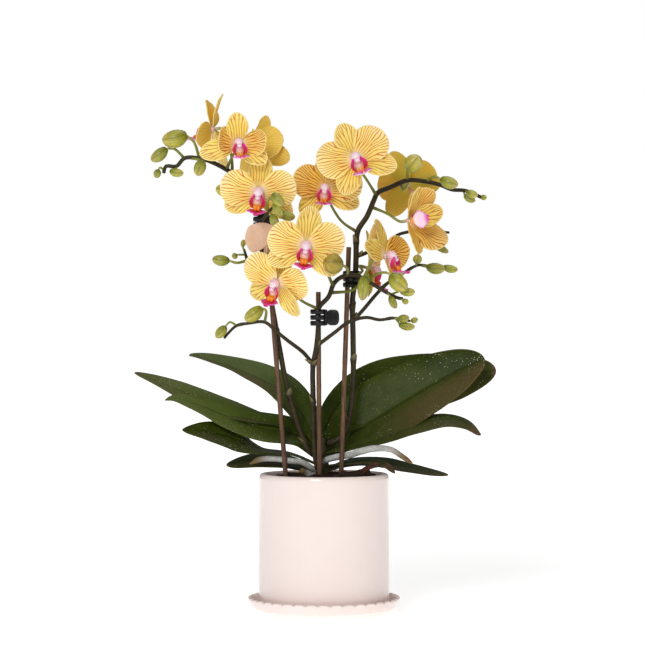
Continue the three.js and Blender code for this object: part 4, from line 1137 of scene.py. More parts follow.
ROOTS = {
    "root_left": {
        "places": [(-7, 122.5, -2.5), (-12, 125.5, -8), (-19, 129.5, -9.5), (-30, 130.8, -8.5),
                   (-40, 132.5, -7.5), (-48, 133, -8.5), (-56, 131.8, -11), (-64, 128, -13)],
        "radii": [2.3, 2.5, 2.6, 2.6, 2.7, 2.8, 2.6, 1.1],
    },
    "root_right": {
        "places": [(0, 130, -2), (3, 132, -8.5), (9, 133.5, -9.8), (16, 135, -10.3), (22, 135.8, -14),
                   (29, 138, -18.5), (38, 140.5, -21.5), (48, 141.5, -23), (58, 140.2, -24), (68, 134, -24),
                   (76, 128.5, -24)],
        "radii": [2.4, 2.8, 2.9, 2.9, 3, 2.9, 2.7, 2.5, 2.3, 1.6],
    },
    "root_stub": {
        "places": [(-6, 117, -1), (-13, 119, -9), (-20, 122.5, -15.5)],
        "radii": [2.8, 3.1, 2.6],
    },
}


def root(name, shape, seed):
    route = Route(seen_all(shape["places"]))

    def radius(v, turn):
        knobs = 1 + 0.07 * field.noise(Vector((v * route.length / 5, math.cos(2 * math.pi * turn), seed)))
        return eased(shape["radii"], v) * knobs * math.sqrt(max(1 - smooth(0.95, 1.0, v) * 0.7, 0.1))

    piece = tube(f"{name}_velamen", route, radius, 16, 60, 0.7)
    return stands_for(paint(piece, ROOT_SKIN), "root", name)


# ---------------------------------------------------------------- blooms

HUB = {"radius": 2.6, "back": -2.4, "front": 1.4}
PETAL_SHAPE = {"width": 30, "root": 0.1, "peak": 0.56, "blunt": 2.1, "base": 0.5, "bow": 0.05, "trough": -0.1,
               "sepal": 0.0}
SEPAL_SHAPE = {"width": 20, "root": 0.14, "peak": 0.54, "blunt": 1.75, "base": -1.1, "bow": 0.03,
               "trough": 0.12, "sepal": 1.0}
TEPAL_THICKNESS = 0.8

# Where a bloom sits, the way it faces (degrees to the right of the front, degrees up) and the way its lip
# faces where that differs, its size, how deeply its petals are cupped and how slim they are. Each tepal is
# given by how far its tip is across, up and behind the bloom's middle and how far it twists about its length:
# the top sepal, the two petals and the two lower sepals, left and right as they look from the front. The
# tones say how deep the colour of each is, in the same order. lilac says how pale and lilac the lip's middle
# lobe is and how small its callus is, from 0, red with a full callus, to 1.
BLOOMS = {
    "side": {
        "at": (-96.5, 416, 2), "face": (-98, 0), "lip_face": (-98, 20), "size": 0.95, "cup": 0.12,
        "slim": 0.84, "top": (8.5, 30.5, 3, 8), "petals": [(-12, -10, -20), (-3, 25, 9, -17)],
        "sepals": [(13, -36, 5, -40), (16, -15, 6)], "tones": (0.0, 0.0, 0.1, 0.25, 0.1),
    },
    "upper_left": {
        "at": (-73.8, 403.4, -32), "face": (6, 8), "size": 0.95, "cup": 0.16, "slim": 0.8,
        "top": (-1, 25.5, -13), "petals": [(-15.5, 5, -17), (24, 2, -13)],
        "sepals": [(-32.5, -9, 1), (24, -16, -6)], "tones": (0.35, 0.6, 0.4, 0.2, 0.3), "lilac": 1,
    },
    "back_left": {
        "at": (-60, 400, 4), "face": (130, -5), "size": 1, "cup": 0.12, "slim": 0.94,
        "top": (11, 28, 5), "petals": [(25, 6.5, -14), (-3, 6, 30)],
        "sepals": [(31.5, -11, -13), (-12, -18, 24)], "tones": (0.3, 0.0, 0.2, 0.3, 0.2),
    },
    "left": {
        "at": (-56.3, 362, -30), "face": (0, -8), "size": 1.05,
        "top": (3, 31, 4), "petals": [(-32, 6, -5), (32, 5, -5)],
        "sepals": [(-28, -14, 1), (28, -20, 1)], "tones": (0.3, 0.1, 0.05, 0.1, 0.15),
    },
    "centre": {
        "at": (-15.4, 316, -52), "face": (0, -8), "size": 1.05,
        "top": (4.5, 33, 3), "petals": [(-31.5, 9, -5), (32, 7, -5)],
        "sepals": [(-32, -14, 2), (26, -24, 0)], "tones": (0.25, 0.05, 0.05, 0.15, 0.1),
    },
    "lower_left": {
        "at": (-40.3, 284, -36), "face": (-24, -12), "size": 0.98,
        "top": (8, 31, 4), "petals": [(-25, 21, 1), (26, -2, -16, 12)],
        "sepals": [(-23, -10, 16), (18, -28, -6, 20)], "tones": (0.0, 0.0, 0.0, 0.1, 0.0),
    },
    "upper": {
        "at": (27, 390, -34), "face": (0, 12), "size": 1.1,
        "top": (-12, 31, 6), "petals": [(-33, -2, -5), (23, 24, 1)],
        "sepals": [(-10, -30, -6), (35, -6, -1)], "tones": (0.25, 0.15, 0.15, 0.3, 0.25), "lilac": 1,
    },
    "upper_middle": {
        "at": (0.5, 364, -14), "face": (0, 8), "size": 0.98,
        "top": (2, 32, 3), "petals": [(-26, 12, -10), (32, 6, -6)],
        "sepals": [(-20, -21, -4), (29, -14, -3)], "tones": (0.5, 0.7, 0.3, 0.35, 0.35), "lilac": 0.6,
    },
    "back_right": {
        "at": (72, 368, 30), "face": (176, -4), "size": 0.98,
        "top": (-14, 29, 3), "petals": [(-26, 1, 12), (23, 16, 12)],
        "sepals": [(-16, -27, -3), (29, 2, -3)], "tones": (0.7, 0.45, 0.85, 0.5, 0.8),
    },
    "right": {
        "at": (73.5, 337.5, -8), "face": (55, 4), "lip_face": (74, 12), "size": 1, "cup": 0.12,
        "top": (30, 9, 12), "petals": [(20, 26, -3), (32, -19, 2)],
        "sepals": [(8, 28, -14), (8, -29, -14)], "tones": (0.75, 0.85, 0.75, 0.8, 0.9), "lilac": 0.8,
    },
    "lower_right": {
        "at": (52.6, 306.5, -18), "face": (64, 6), "size": 0.98, "cup": 0.12,
        "top": (-7, 32, 3), "petals": [(-12, 24, -16), (21, 7, 22)],
        "sepals": [(-17, 9, -27), (16, -25, 14)], "tones": (0.6, 0.6, 0.9, 0.7, 0.7),
    },
    "behind_right": {
        "at": (40, 296, 13), "face": (98, -14), "size": 0.9, "cup": 0.1,
        "top": (-3, 33, 1), "petals": [(-4, -5, -22), (8, 3, 26)],
        "sepals": [(-1, -24, -12), (-3, -22, 20)], "tones": (0.9, 0.9, 0.9, 0.9, 0.9),
    },
}


def facing(face):
    right, up = (math.radians(angle) for angle in face)
    return Vector((math.sin(right) * math.cos(up), -math.cos(right) * math.cos(up), math.sin(up)))


def reach(tip):
    """A tip given across, up and behind a bloom's middle, as a vector."""
    across, up, behind = tip[:3]
    return Vector((across, behind, up))


def bloom_frame(shape, face=None):
    """A bloom's own frame: x to its right as it is looked at, y towards its top sepal, z out of its face."""
    out = facing(face or shape["face"])
    crest = reach(shape["top"])
    crest = (crest - out * crest.dot(out)).normalized()
    right = crest.cross(out)
    matrix = Matrix((right, crest, out)).transposed().to_4x4()
    matrix.translation = seen(*shape["at"])
    return matrix


def tepal_outline(v, shape):
    if v < shape["peak"]:
        return shape["root"] + (1 - shape["root"]) * math.sin(math.pi / 2 * v / shape["peak"]) ** 1.1
    return math.sqrt(max(1 - ((v - shape["peak"]) / (1 - shape["peak"])) ** shape["blunt"], 0.0))


def tepal(shape, tip, out, at, size, tone, seed):
    """A tepal from the hub to its tip, bowed, troughed and a little waved at its margin."""
    length = reach(tip).length
    along = reach(tip).normalized()
    face = (out - along * out.dot(along)).normalized()
    if len(tip) > 3:
        face = Matrix.Rotation(math.radians(tip[3]), 3, along) @ face
    side = along.cross(face)
    start = 0.04

    def spot(u, v):
        v = lerp(start, 1, 1 - (1 - v) ** 1.5)
        return 2 * u - 1, v, shape["width"] / 2 * size * tepal_outline(v, shape)

    def place(u, v):
        s, v, half = spot(u, v)
        lift = shape["bow"] * length * 4 * v * (1 - v) + shape["trough"] * half * s * s
        crease = -0.35 * math.exp(-((s / 0.09) ** 2)) * (1 - v)
        rim = abs(s) ** 3 * smooth(0.1, 0.6, v)
        flat_place = Vector((s * half, v * length, seed * 9.0))
        wave = (0.9 * wobble(flat_place, 9, seed) + 0.4 * wobble(flat_place, 4, seed + 5)) * rim
        soft = 0.5 * wobble(flat_place, 15, seed + 2) * smooth(0.1, 0.5, v)
        return (
            at + out * (shape["base"] * size) + along * (length * v)
            + face * (lift + crease + wave + soft) + side * (s * half)
        )

    def flat(u, v):
        s, v, half = spot(u, v)
        return s * half / FLAT_SPAN + 0.5, v * length / FLAT_SPAN + FLAT_FOOT

    def margin(u, v):
        s, v, half = spot(u, v)
        rest = (1 - abs(s)) * half
        return max(1 - rest / 6, 1 - (1 - v) * length / 6, 0.0)

    marks = {"margin": margin, "tone": lambda u, v: tone, "sepal": lambda u, v: shape["sepal"]}
    piece = shaped("tepal", 22, 26, place, flat, marks)
    weld(piece, 0.02)
    paint(piece, PETAL, PETAL_BACK)
    thickened(piece, TEPAL_THICKNESS, material_offset=1, material_offset_rim=0)
    return piece


def bloom(name, shape, seed):
    out = facing(shape["face"])
    at = seen(*shape["at"])
    size = shape["size"]
    petal_shape = {**PETAL_SHAPE, "width": PETAL_SHAPE["width"] * shape.get("slim", 1.0),
                   "bow": PETAL_SHAPE["bow"] - shape.get("cup", 0.0)}
    shapes = [SEPAL_SHAPE, petal_shape, petal_shape, SEPAL_SHAPE, SEPAL_SHAPE]
    tips = [shape["top"], *shape["petals"], *shape["sepals"]]
    pieces = []
    for i, (kind, tip, tone) in enumerate(zip(shapes, tips, shape["tones"])):
        pieces.append(tepal(kind, tip, out, at, size, tone, seed + i * 2.3))
    ends = [at + out * (HUB[end] * size) for end in ("back", "front")]
    hub = tube("hub", Route(ends), lambda v, turn: HUB["radius"] * size * (0.85 + 0.15 * v), 14, 6, 0.6)
    pieces.append(paint(hub, COLUMN_SKIN))
    return stands_for(joined(f"bloom_{name}_tepals", pieces), "petal", f"bloom_{name}")


# The lip and column, in the bloom's own frame: a hooded column with a knob of an anther cap, a throat that
# drops from its foot, two side lobes that stand up beside it, an orange callus, and a kite-shaped middle lobe
# that is thrust forwards and ends in two short upturned tips.
COLUMN = {"route": [(0, 1.0, 1.5), (0, 0.4, 5), (0, -1.4, 8.2), (0, -3.4, 10.0)],
          "radii": [2.5, 3.2, 3.9, 4.1, 3.8, 2.7, 1.2]}
CAP = {"route": [(0, -2.6, 9.6), (0, -5.4, 11.0)], "radius": 2.2}
THROAT = {"route": [(0, -2, 5.0), (0, -8, 5.6), (0, -14.2, 7.0)], "radii": [2.4, 3.4, 3.0]}
WING = {"root": (3.2, -12.6, 7.6), "length": 10.8, "width": 5.8, "bulge": 2.4, "thickness": 0.8}
CALLUS = {"route": [(0, -9.6, 9.6), (0, -12.2, 11.8), (0, -14.2, 12.4)], "radii": [0.9, 1.8, 1.0],
          "apart": 1.25, "lost_by_lilac": 0.72}
KEEL = {"root": (0, -14.8, 6.4), "length": 14, "width": 15.5, "widest": 0.5, "drop": 0.16, "trough": 1.4,
        "tip": 0.22, "thickness": 1.0}
TENDRIL = {"length": 3.4, "radii": [0.75, 0.5, 0.2]}


def wing(side):
    x, y, z = WING["root"]

    def place(u, v):
        s = 2 * u - 1
        half = WING["width"] / 2 * math.sin(math.pi * (0.2 + 0.74 * v)) ** 0.7
        curl = 0.5 * (1 - math.cos(math.pi * v)) * s * s
        out = x + WING["bulge"] * math.sin(math.pi * v) + 0.4 * half * side * s - 0.9 * curl
        return Vector((side * out, y + WING["length"] * v, z + 2 * v + 0.85 * half * side * s))

    piece = shaped("side_lobe", 12, 16, place)
    thickened(piece, WING["thickness"])
    return paint(piece, SIDE_LOBE_SKIN)


def keel_half(v):
    widest = KEEL["widest"]
    if v < widest:
        wide = 0.3 + 0.7 * math.sin(math.pi / 2 * v / widest)
    else:
        wide = 1 - (1 - KEEL["tip"]) * ((v - widest) / (1 - widest)) ** 1.2
    return KEEL["width"] / 2 * wide


def middle_lobe(lilac):
    _, y, z = KEEL["root"]

    def place(u, v):
        s = 1 - 2 * u
        half = keel_half(v)
        ridge = 0.5 * math.exp(-((s / 0.16) ** 2)) * (1 - v)
        up = y - KEEL["drop"] * KEEL["length"] * v + KEEL["trough"] * s * s + ridge
        return Vector((s * half, up, z + KEEL["length"] * v))

    piece = shaped("middle_lobe", 18, 22, place, marks={"lilac": lambda u, v: lilac})
    paint(piece, MIDDLE_LOBE_SKIN, MIDDLE_LOBE_UNDER)
    thickened(piece, KEEL["thickness"], material_offset=1,
             material_offset_rim=0)
    tip = Vector((0, y - KEEL["drop"] * KEEL["length"], z + KEEL["length"]))
    tips = []
    for side in (1, -1):
        bend = [tip + Vector((side * 0.8, 0, -0.8)), tip + Vector((side * 1.4, 0.8, 0.6)),
                tip + Vector((side * 1.8, 2.4, 0.8))]
        tendril = tube("tendril", Route(bend), eased_radii(TENDRIL["radii"]), 8, 8)
        tips.append(paint(tendril, SIDE_LOBE_SKIN))
    return [piece, *tips]


def lip(name, shape):
    def hood(v, turn):
        under = 0.5 - 0.5 * math.cos(2 * math.pi * turn)
        return eased(COLUMN["radii"], v) * (1.08 - 0.16 * under)

    def cap(v, turn):
        return CAP["radius"] * math.sin(math.pi * (0.16 + 0.7 * v))

    lilac = shape.get("lilac", 0.0)
    plump = 1 - CALLUS["lost_by_lilac"] * lilac
    column = tube("column", Route(COLUMN["route"]), hood, 18, 20, 0.6)
    anther_cap = tube("anther_cap", Route(CAP["route"]), cap, 12, 8, 0.6)
    throat = tube("throat", Route(THROAT["route"]), eased_radii(THROAT["radii"]), 16, 16)
    pieces = [paint(column, COLUMN_SKIN), paint(anther_cap, COLUMN_SKIN), paint(throat, THROAT_SKIN)]
    pieces += [wing(1), wing(-1), *middle_lobe(lilac)]
    for side in (1, -1):
        route = [Vector(p) + Vector((side * CALLUS["apart"], 0, 0)) for p in CALLUS["route"]]
        knob = tube("callus", Route(route), eased_radii(CALLUS["radii"], plump), 12, 10, 0.6)
        pieces.append(paint(knob, CALLUS_SKIN))
    piece = joined(f"lip_{name}_lobes", pieces)
    frame_at = bloom_frame(shape, shape.get("lip_face"))
    moved(piece, frame_at @ Matrix.Scale(shape["size"], 4))
    return stands_for(piece, "lip", f"lip_{name}")


# ---------------------------------------------------------------- flower spikes

# Each spike has a stem, side branches, the heights of its bracts, and buds given by the stalk that carries
# each, its tip and its width. Blooms hang on stalks from the places given in `bears`.
SPIKES = {
    "spike_left": {
        "stem": [
            (-4, 136, -2), (-12, 138, -9), (-20, 155, -9), (-27, 177, -8), (-33, 200, -8), (-38, 226, -8),
            (-43, 255, -8), (-48.5, 285, -8), (-53.5, 312, -8), (-55.5, 332, -12), (-56, 346, -12),
            (-62, 361, -11), (-75, 375, -10), (-95, 387, -8), (-108, 391, -6), (-120, 391, -6),
            (-127, 384, -6), (-136, 384, -6), (-138, 378, -6),
        ],
        "radii": [2.5, 2.4, 2.3, 2.2, 2.2, 2.1, 1.9, 1.6],
        "bracts": [147, 187, 240, 284],
        "branches": [
            [(-54, 317, -9), (-57, 324, -17), (-56, 331, -24.5), (-53, 338, -31), (-48, 344, -39),
             (-44, 349, -45)],
            [(-47, 277, -8), (-57, 288, -6), (-65, 301, -5), (-68, 310, -5), (-69, 313, -5)],
        ],
        "buds": [
            ([(-107, 390, -6), (-112, 405, -8), (-119, 411, -9)], (-139, 406, -11), 15.5),
            ([(-120, 391, -6), (-129, 399, -7), (-136, 399, -8)], (-148.5, 389, -9), 10.5),
            ([(-137, 380, -6), (-141, 383, -7), (-142.5, 381, -7)], (-144.5, 374, -7), 6.5),
            ([(-127, 383, -6), (-128, 381, -11), (-132, 380, -13)], (-121, 378, -15), 7.5),
            ([(-114, 391, -6), (-109, 390, -11), (-105, 389, -13)], (-109, 376, -15), 10.5),
            ([(-48, 344, -39), (-48.5, 354, -44), (-43.5, 360, -47)], (-35, 350, -51), 9.5),
            ([(-46, 346.5, -42), (-42.5, 352, -48)], (-36, 340.5, -52), 7.5),
            ([(-47, 345, -40.5), (-44.5, 342, -48)], (-40.5, 331.5, -52), 7.5),
            ([(-44.5, 348.5, -44.5), (-38, 344, -46)], (-25, 340, -44.5), 8.5),
            ([(-68.5, 311, -5), (-70, 315, -6)], (-69, 321, -7), 4.5),
            ([(-68, 308, -5), (-75, 308, -6)], (-79, 306, -7), 5.5),
            ([(-66, 303, -5), (-75, 301, -7), (-82, 303, -8)], (-96, 304.5, -9), 9.5),
            ([(-58, 353, -12), (-68, 361, -8), (-79, 363, -8)], (-93, 365, -9), 11),
        ],
        "bears": {
            "side": [(-79, 377.5, -9.6), (-79.5, 392, -1)],
            "upper_left": [(-84, 381, -9), (-80, 390, -14)],
            "back_left": [(-67, 367, -11), (-58, 385, -6)],
            "left": [(-57, 349, -12), (-59, 354, -20)],
        },
    },
    "spike_centre": {
        "stem": [
            (-3, 122, -3), (-6, 126, -13), (-8, 140, -15), (-9, 165, -15), (-9.5, 190, -15.5),
            (-9.5, 212, -18.5), (-6.5, 229, -23.2), (-5, 246, -23.2), (-4.5, 262, -23.2), (4, 272, -24),
            (9, 284, -25), (18, 290, -25), (28, 290, -24), (38, 285, -24), (52, 276.5, -25), (63, 271, -26),
            (68, 270, -26),
        ],
        "radii": [2.4, 2.3, 2.3, 2.2, 2.1, 2, 1.8, 1.4],
        "bracts": [139, 181, 214],
        "branches": [
            [(-7, 229, -22), (9, 241, -26), (21, 250, -27), (36, 254, -27), (48, 252, -27),
             (60, 253.5, -27), (74, 251, -27)],
            [(-9.5, 214, -18.5), (-18, 224, -21), (-31, 234, -24), (-41, 242, -24), (-51, 250, -23),
             (-65, 249, -22), (-75, 247, -21), (-81, 242, -20), (-86, 236, -20)],
        ],
        "buds": [
            ([(20, 290.5, -25), (20, 296, -46), (13, 301, -60)], (2, 301, -72), 17),
            ([(40, 284, -24), (37, 290, -28), (34.5, 289, -31)], (33, 269, -35), 10.5),
            ([(38, 285, -24), (46, 291.5, -28), (54, 292.5, -34), (58, 290, -35.5)], (71, 278, -40), 14),
            ([(58, 274, -25.5), (66, 277, -29)], (78, 276, -34), 7.5),
            ([(54, 276, -25), (57, 272, -29)], (62, 262, -31), 6.5),
            ([(65, 270.5, -26), (68, 269, -28)], (72.5, 267, -30), 5),
            ([(60, 253.5, -27), (64, 253, -30)], (73, 254, -33), 7),
            ([(62, 253, -27), (65, 248, -28)], (78, 246, -29), 7),
            ([(72, 251, -27), (75, 251, -27)], (80.5, 253, -27), 5),
            ([(-51, 250, -23), (-50, 260, -24), (-54, 262, -25)], (-68, 252, -26), 11.5),
            ([(-75, 247, -21), (-81, 250, -22), (-85, 246, -22)], (-93, 237, -23), 8.5),
        ],
        "bears": {
            "centre": [(8, 281, -25), (0, 297, -34)],
            "lower_left": [(-4.5, 261, -23), (-20, 269, -30)],
            "lower_right": [(5, 275, -24), (27, 279, -18.5)],
            "behind_right": [(28, 290, -24), (33, 294, -10)],
        },
    },
    "spike_right": {
        "stem": [
            (2, 145, 0), (10, 148, 1), (17, 153, 1), (22, 170, 1), (25, 200, 1), (25, 235, -1),
            (24.5, 269, -4), (26.8, 287, -5), (27.5, 304, -5), (29, 328, -4), (37, 341, -3), (43, 355, -2),
            (46, 361, -1), (57, 366, 2), (72, 372, 4), (87, 371, 4), (100, 368, 3), (110, 364, 2),
            (122, 363, 2), (136, 357, 2),
        ],
        "radii": [2.5, 2.4, 2.4, 2.4, 2.4, 2.2, 1.9, 1.5],
        "bracts": [166, 216, 262, 318],
        "branches": [
            [(27.3, 306, -5), (36, 309.5, -1), (48, 315, 1), (57, 320, 12), (66, 326, 26), (87, 329, 36),
             (108, 327, 36)],
            [(25, 251, -2.5), (34, 261, 1), (45, 274, 1), (54, 283, 6), (68, 292, 17), (81, 299, 19),
             (92, 298, 18)],
        ],
        "buds": [
            ([(72, 372, 4), (71.5, 380, -1), (73, 383, -4)], (81, 392, -15), 15.5),
            ([(88, 371, 4), (95, 375, -1), (101, 373, -4)], (115, 368, -8), 10.5),
            ([(122, 363, 2), (123, 362, -2)], (132, 359, -6), 7),
            ([(120, 363, 2), (121, 359, 4)], (130, 354, 5), 6.5),
            ([(132, 358.5, 2), (135, 358, 2)], (140, 357, 2), 5),
            ([(79, 298, 19.5), (79.5, 301, 16)], (81, 308, 13), 8),
            ([(84, 298.8, 18.6), (89, 297.5, 16)], (104, 296, 14), 10),
            ([(91, 298, 18), (103, 297.5, 19)], (115, 295, 19), 7),
            ([(92, 329, 36), (95, 318, 34)], (107, 310, 33), 6.5),
        ],
        "bears": {
            "upper": [(45, 359, -1.5), (37, 372, -14)],
            "upper_middle": [(29, 327, -4), (14, 338, 4)],
            "back_right": [(66, 369.5, 3), (68, 364, 10)],
            "right": [(41, 349, -2.5), (55, 343, -2)],
        },
    },
}
BRANCH_RADII = [1.7, 1.6, 1.4, 1.1]
FLOWER_STALK_RADII = [1.5, 1.15, 1.15, 1.4]
THICK_BUD = 9  # a wider bud hangs on a thicker stalk
SWELLING_BUD = 10.8  # a wider bud is paler
BROWN_BUD = 16  # a wider bud is about to open, and brown
BUD_PROFILE = [0.42, 0.72, 0.92, 1.0, 0.99, 0.9, 0.7, 0.3]
BRACT = {"length": 6, "stand": 0.5, "thickness": 0.5}


def bud(route_end, tip, width, seed):
    """A bud that swells from its stalk and ends bluntly, with three seams that meet at its tip."""
    base = route_end.lerp(tip, -0.05)
    sag = Vector((0, 0, -0.05 * (tip - base).length))
    route = Route([base, base.lerp(tip, 0.5) + sag, tip])

    def radius(v, turn):
        seams = 1 - 0.055 * max(math.cos(6 * math.pi * (turn - 1 / 6)), 0.0) ** 6 * smooth(0.25, 0.8, v)
        angle = 2 * math.pi * turn
        lumps = 1 + 0.04 * field.noise(Vector((math.cos(angle), math.sin(angle) + v, seed)))
        return width / 2 * eased(BUD_PROFILE, v) * seams * lumps

    skin = YOUNG_BUD_SKIN
    if width > SWELLING_BUD:
        skin = BROWN_BUD_SKIN if width > BROWN_BUD else SWELLING_BUD_SKIN
    return paint(tube("bud", route, radius, 24, 20, 0.7), skin)


def bract(route, share, radius, lean):
    """A pointed papery sheath that clasps a joint of the stem on one side, above a swollen ring."""

    def place(u, v):
        clasp = (2 * u - 1) * math.pi * 0.62 * (1 - v) ** 0.7
        here = share + BRACT["length"] * v / route.length
        stand = radius + 0.25 + BRACT["stand"] * v * v * 2
        return route.round(here, stand, (lean + clasp) / (2 * math.pi))

    piece = shaped("bract", 12, 8, place)
    weld(piece)
    thickened(piece, BRACT["thickness"])
    return paint(piece, BRACT_SKIN)


def stem_tube(route, radii, sides, steps, joints=()):
    def radius(v, turn):
        swell = sum(math.exp(-(((v - joint) * route.length / 2.2) ** 2)) for joint in joints)
        return spread_evenly(radii, v) * (1 + 0.2 * min(swell, 1.0))

    return paint(tube("stem", route, radius, sides, steps), STEM_SKIN)


def spike(name, shape, seed):
    stem = Route(seen_all(shape["stem"]))
    joints = [stem.share_at_height(height) for height in shape["bracts"]]
    stems = [stem_tube(stem, shape["radii"], 18, 150, joints)]
    for i, joint in enumerate(joints):
        stems.append(bract(stem, joint, spread_evenly(shape["radii"], joint), 1.1 + 2.4 * i))
    for branch in shape["branches"]:
        route = Route(seen_all(branch))
        stems.append(stem_tube(route, BRANCH_RADII, 14, 60, [0.45, 0.8]))
        stems.append(bract(route, 0.02, BRANCH_RADII[0] + 0.3, 2.0))
    stalks, buds = [], []
    for i, (stalk_places, tip, width) in enumerate(shape["buds"]):
        places = seen_all(stalk_places)
        radius = 1.05 if width > THICK_BUD else 0.8
        stalks.append(tube("stalk", Route(places), lambda v, turn, r=radius: r * (1.2 - 0.2 * v), 12, 18))
        buds.append(bud(places[-1], seen(*tip), width, seed + i * 3.1))
    for bloom_name, places in shape["bears"].items():
        carried = BLOOMS[bloom_name]
        bloom_at = bloom_frame(carried)
        end = -HUB["back"] * carried["size"] + GAP
        route = seen_all(places)
        route += [bloom_at @ Vector((0, 0, -end - 7)), bloom_at @ Vector((0, 0, -end + GAP))]
        stalks.append(tube("stalk", Route(route), eased_radii(FLOWER_STALK_RADII), 14, 40))
    for stalk in stalks:
        paint(stalk, FLOWER_STALK_SKIN)
    stands_for(joined(f"{name}_stems", stems), "stem", name)
    stands_for(joined(f"{name}_flower_stalks", stalks), "stem", name)
    stands_for(joined(f"{name}_buds", buds), "stem", name)


# ---------------------------------------------------------------- stakes, clips and tag

STAKES = {
    "stake_left": [(-28.3, 60, -13), (-51, 341, -13.5)],
    "stake_centre": [(-3.6, 60, -20.5), (-4.9, 276, -18)],
    "stake_right": [(12.8, 60, -20.5), (21.3, 314.5, -4)],
}
STAKE_RADIUS = 2.1


def stake(name, ends, seed):
    route = Route(seen_all(ends))

    def radius(v, turn):
        angle = 2 * math.pi * turn
        grain = 0.03 * field.noise(Vector((math.cos(angle) * 3, math.sin(angle) * 3, seed)))
        knot = 0.06 * math.exp(-(((v - 0.62) * route.length / 1.3) ** 2))
        return STAKE_RADIUS * (1 + grain + knot)

    piece = tube(f"{name}_bamboo", route, radius, 20, 60, 0.86)
    return stands_for(paint(piece, BAMBOO), "bamboo", name)


CLIP = {
    "finger": 4.2, "pitch": 4.9, "band": 1.4, "plate": (11, 1.8, 13.5), "plate_out": 3, "spread": 0.2,
    "bridge": (3.4, 7, 13.4), "barrel": (3.4, 6.4, 10.8), "barrel_out": 3.4, "ribs": 5, "squareness": 0.66,
    "coils": 6, "coil": (1.75, 0.35), "coil_pitch": 1.6,
}
CLIPS = {
    "clip_left": {"at": (-53.4, 338.5, -12.6), "inner": 6.3, "turn": 75},
    "clip_centre": {"at": (-5, 254, -20.8), "inner": 5.5, "turn": 0},
    "clip_right": {"at": (23.7, 287, -5.4), "inner": 6.2, "turn": 85},
}


def torus(radius, thickness, steps, sides):
    ring = primitive("torus", major_radius=radius * MM, minor_radius=thickness * MM, major_segments=steps,
                     minor_segments=sides)
    bpy.ops.object.shade_smooth()
    return ring


def clip_block(size, at, turn=0.0, rounding=0.5):
    block = primitive("cube", size=1)
    moved(block, Matrix.Diagonal((*(length * MM for length in size), 1)))
    modified(block, "BEVEL", width=rounding * MM, segments=3)
    matrix = Matrix.Translation(at) @ Matrix.Rotation(turn, 4, "Z")
    return moved(block, matrix)


def thumb_plate(placed):
    """A thumb plate: a drum across Y, squared a little, with softened rims."""
    long, thick, tall = CLIP["plate"]
    plate = primitive("cylinder", vertices=40, radius=0.5, depth=1)
    for vertex in plate.data.vertices:
        for axis in (0, 1):
            share = 2 * vertex.co[axis]
            vertex.co[axis] = math.copysign(abs(share) ** CLIP["squareness"], share) / 2
    stretch = Matrix.Diagonal((long * MM, thick * MM, tall * MM, 1))
    moved(plate, stretch @ Matrix.Rotation(math.pi / 2, 4, "X"))
    softened(plate, 0.55, 3)
    bpy.ops.object.shade_smooth_by_angle(angle=math.radians(45))
    return moved(plate, placed)


def clip(name, shape):
    c = CLIP
    outer = shape["inner"] + c["band"]
    pieces = []
    for step in (-1, 0, 1):
        ring = torus(shape["inner"] + c["band"] / 2, c["band"] / 2, 44, 12)
        tall = c["finger"] / c["band"]
        moved(ring, Matrix.Translation((0, 0, step * c["pitch"])) @ Matrix.Diagonal((1, 1, tall, 1)))
        pieces.append(ring)
    pieces.append(clip_block(c["bridge"], (outer - 0.7, 0, 0)))
    long, _, tall = c["plate"]
    for side in (1, -1):
        hinge = Matrix.Translation((outer + long / 2, side * c["plate_out"], 0)) @ Matrix.Rotation(
            side * c["spread"], 4, "Z")
        pieces.append(thumb_plate(hinge))
        for rib in range(c["ribs"]):
            share = (rib + 0.5) / c["ribs"] - 0.5
            reach_up = tall * math.sqrt(1 - 4 * share * share) * 0.82
            at = hinge @ Vector((long * share, side * (c["plate"][1] / 2 + 0.1), 0))
            pieces.append(clip_block((0.7, 0.8, reach_up), at, side * c["spread"], 0.2))
    pieces.append(clip_block(c["barrel"], (outer + c["barrel_out"], 0, 0), 0.0, 1.4))
    for turn in range(c["coils"]):
        height = c["coil_pitch"] * (turn - (c["coils"] - 1) / 2)
        coil = torus(*c["coil"], 20, 6)
        pieces.append(moved(coil, Matrix.Translation((outer + c["barrel_out"], 0, height))))
    piece = joined(f"{name}_plastic", [paint(part, CLIP_PLASTIC) for part in pieces])
    turned = Matrix.Rotation(math.radians(shape["turn"]), 4, "Z")
    moved(piece, Matrix.Translation(seen(*shape["at"])) @ turned)
    return stands_for(piece, "clip", name)


TAG = {"at": (-55, 323, -31.5), "thickness": 0.9, "inner": 2.4, "outer": 3.2, "low": 309, "high": 316}
TAG_OUTLINE = [(-12.8, -1), (-9.5, 9), (3, 12.4), (12.6, 7.5), (6.8, -5.8), (-6.3, -12.8), (-11.6, -6.5)]


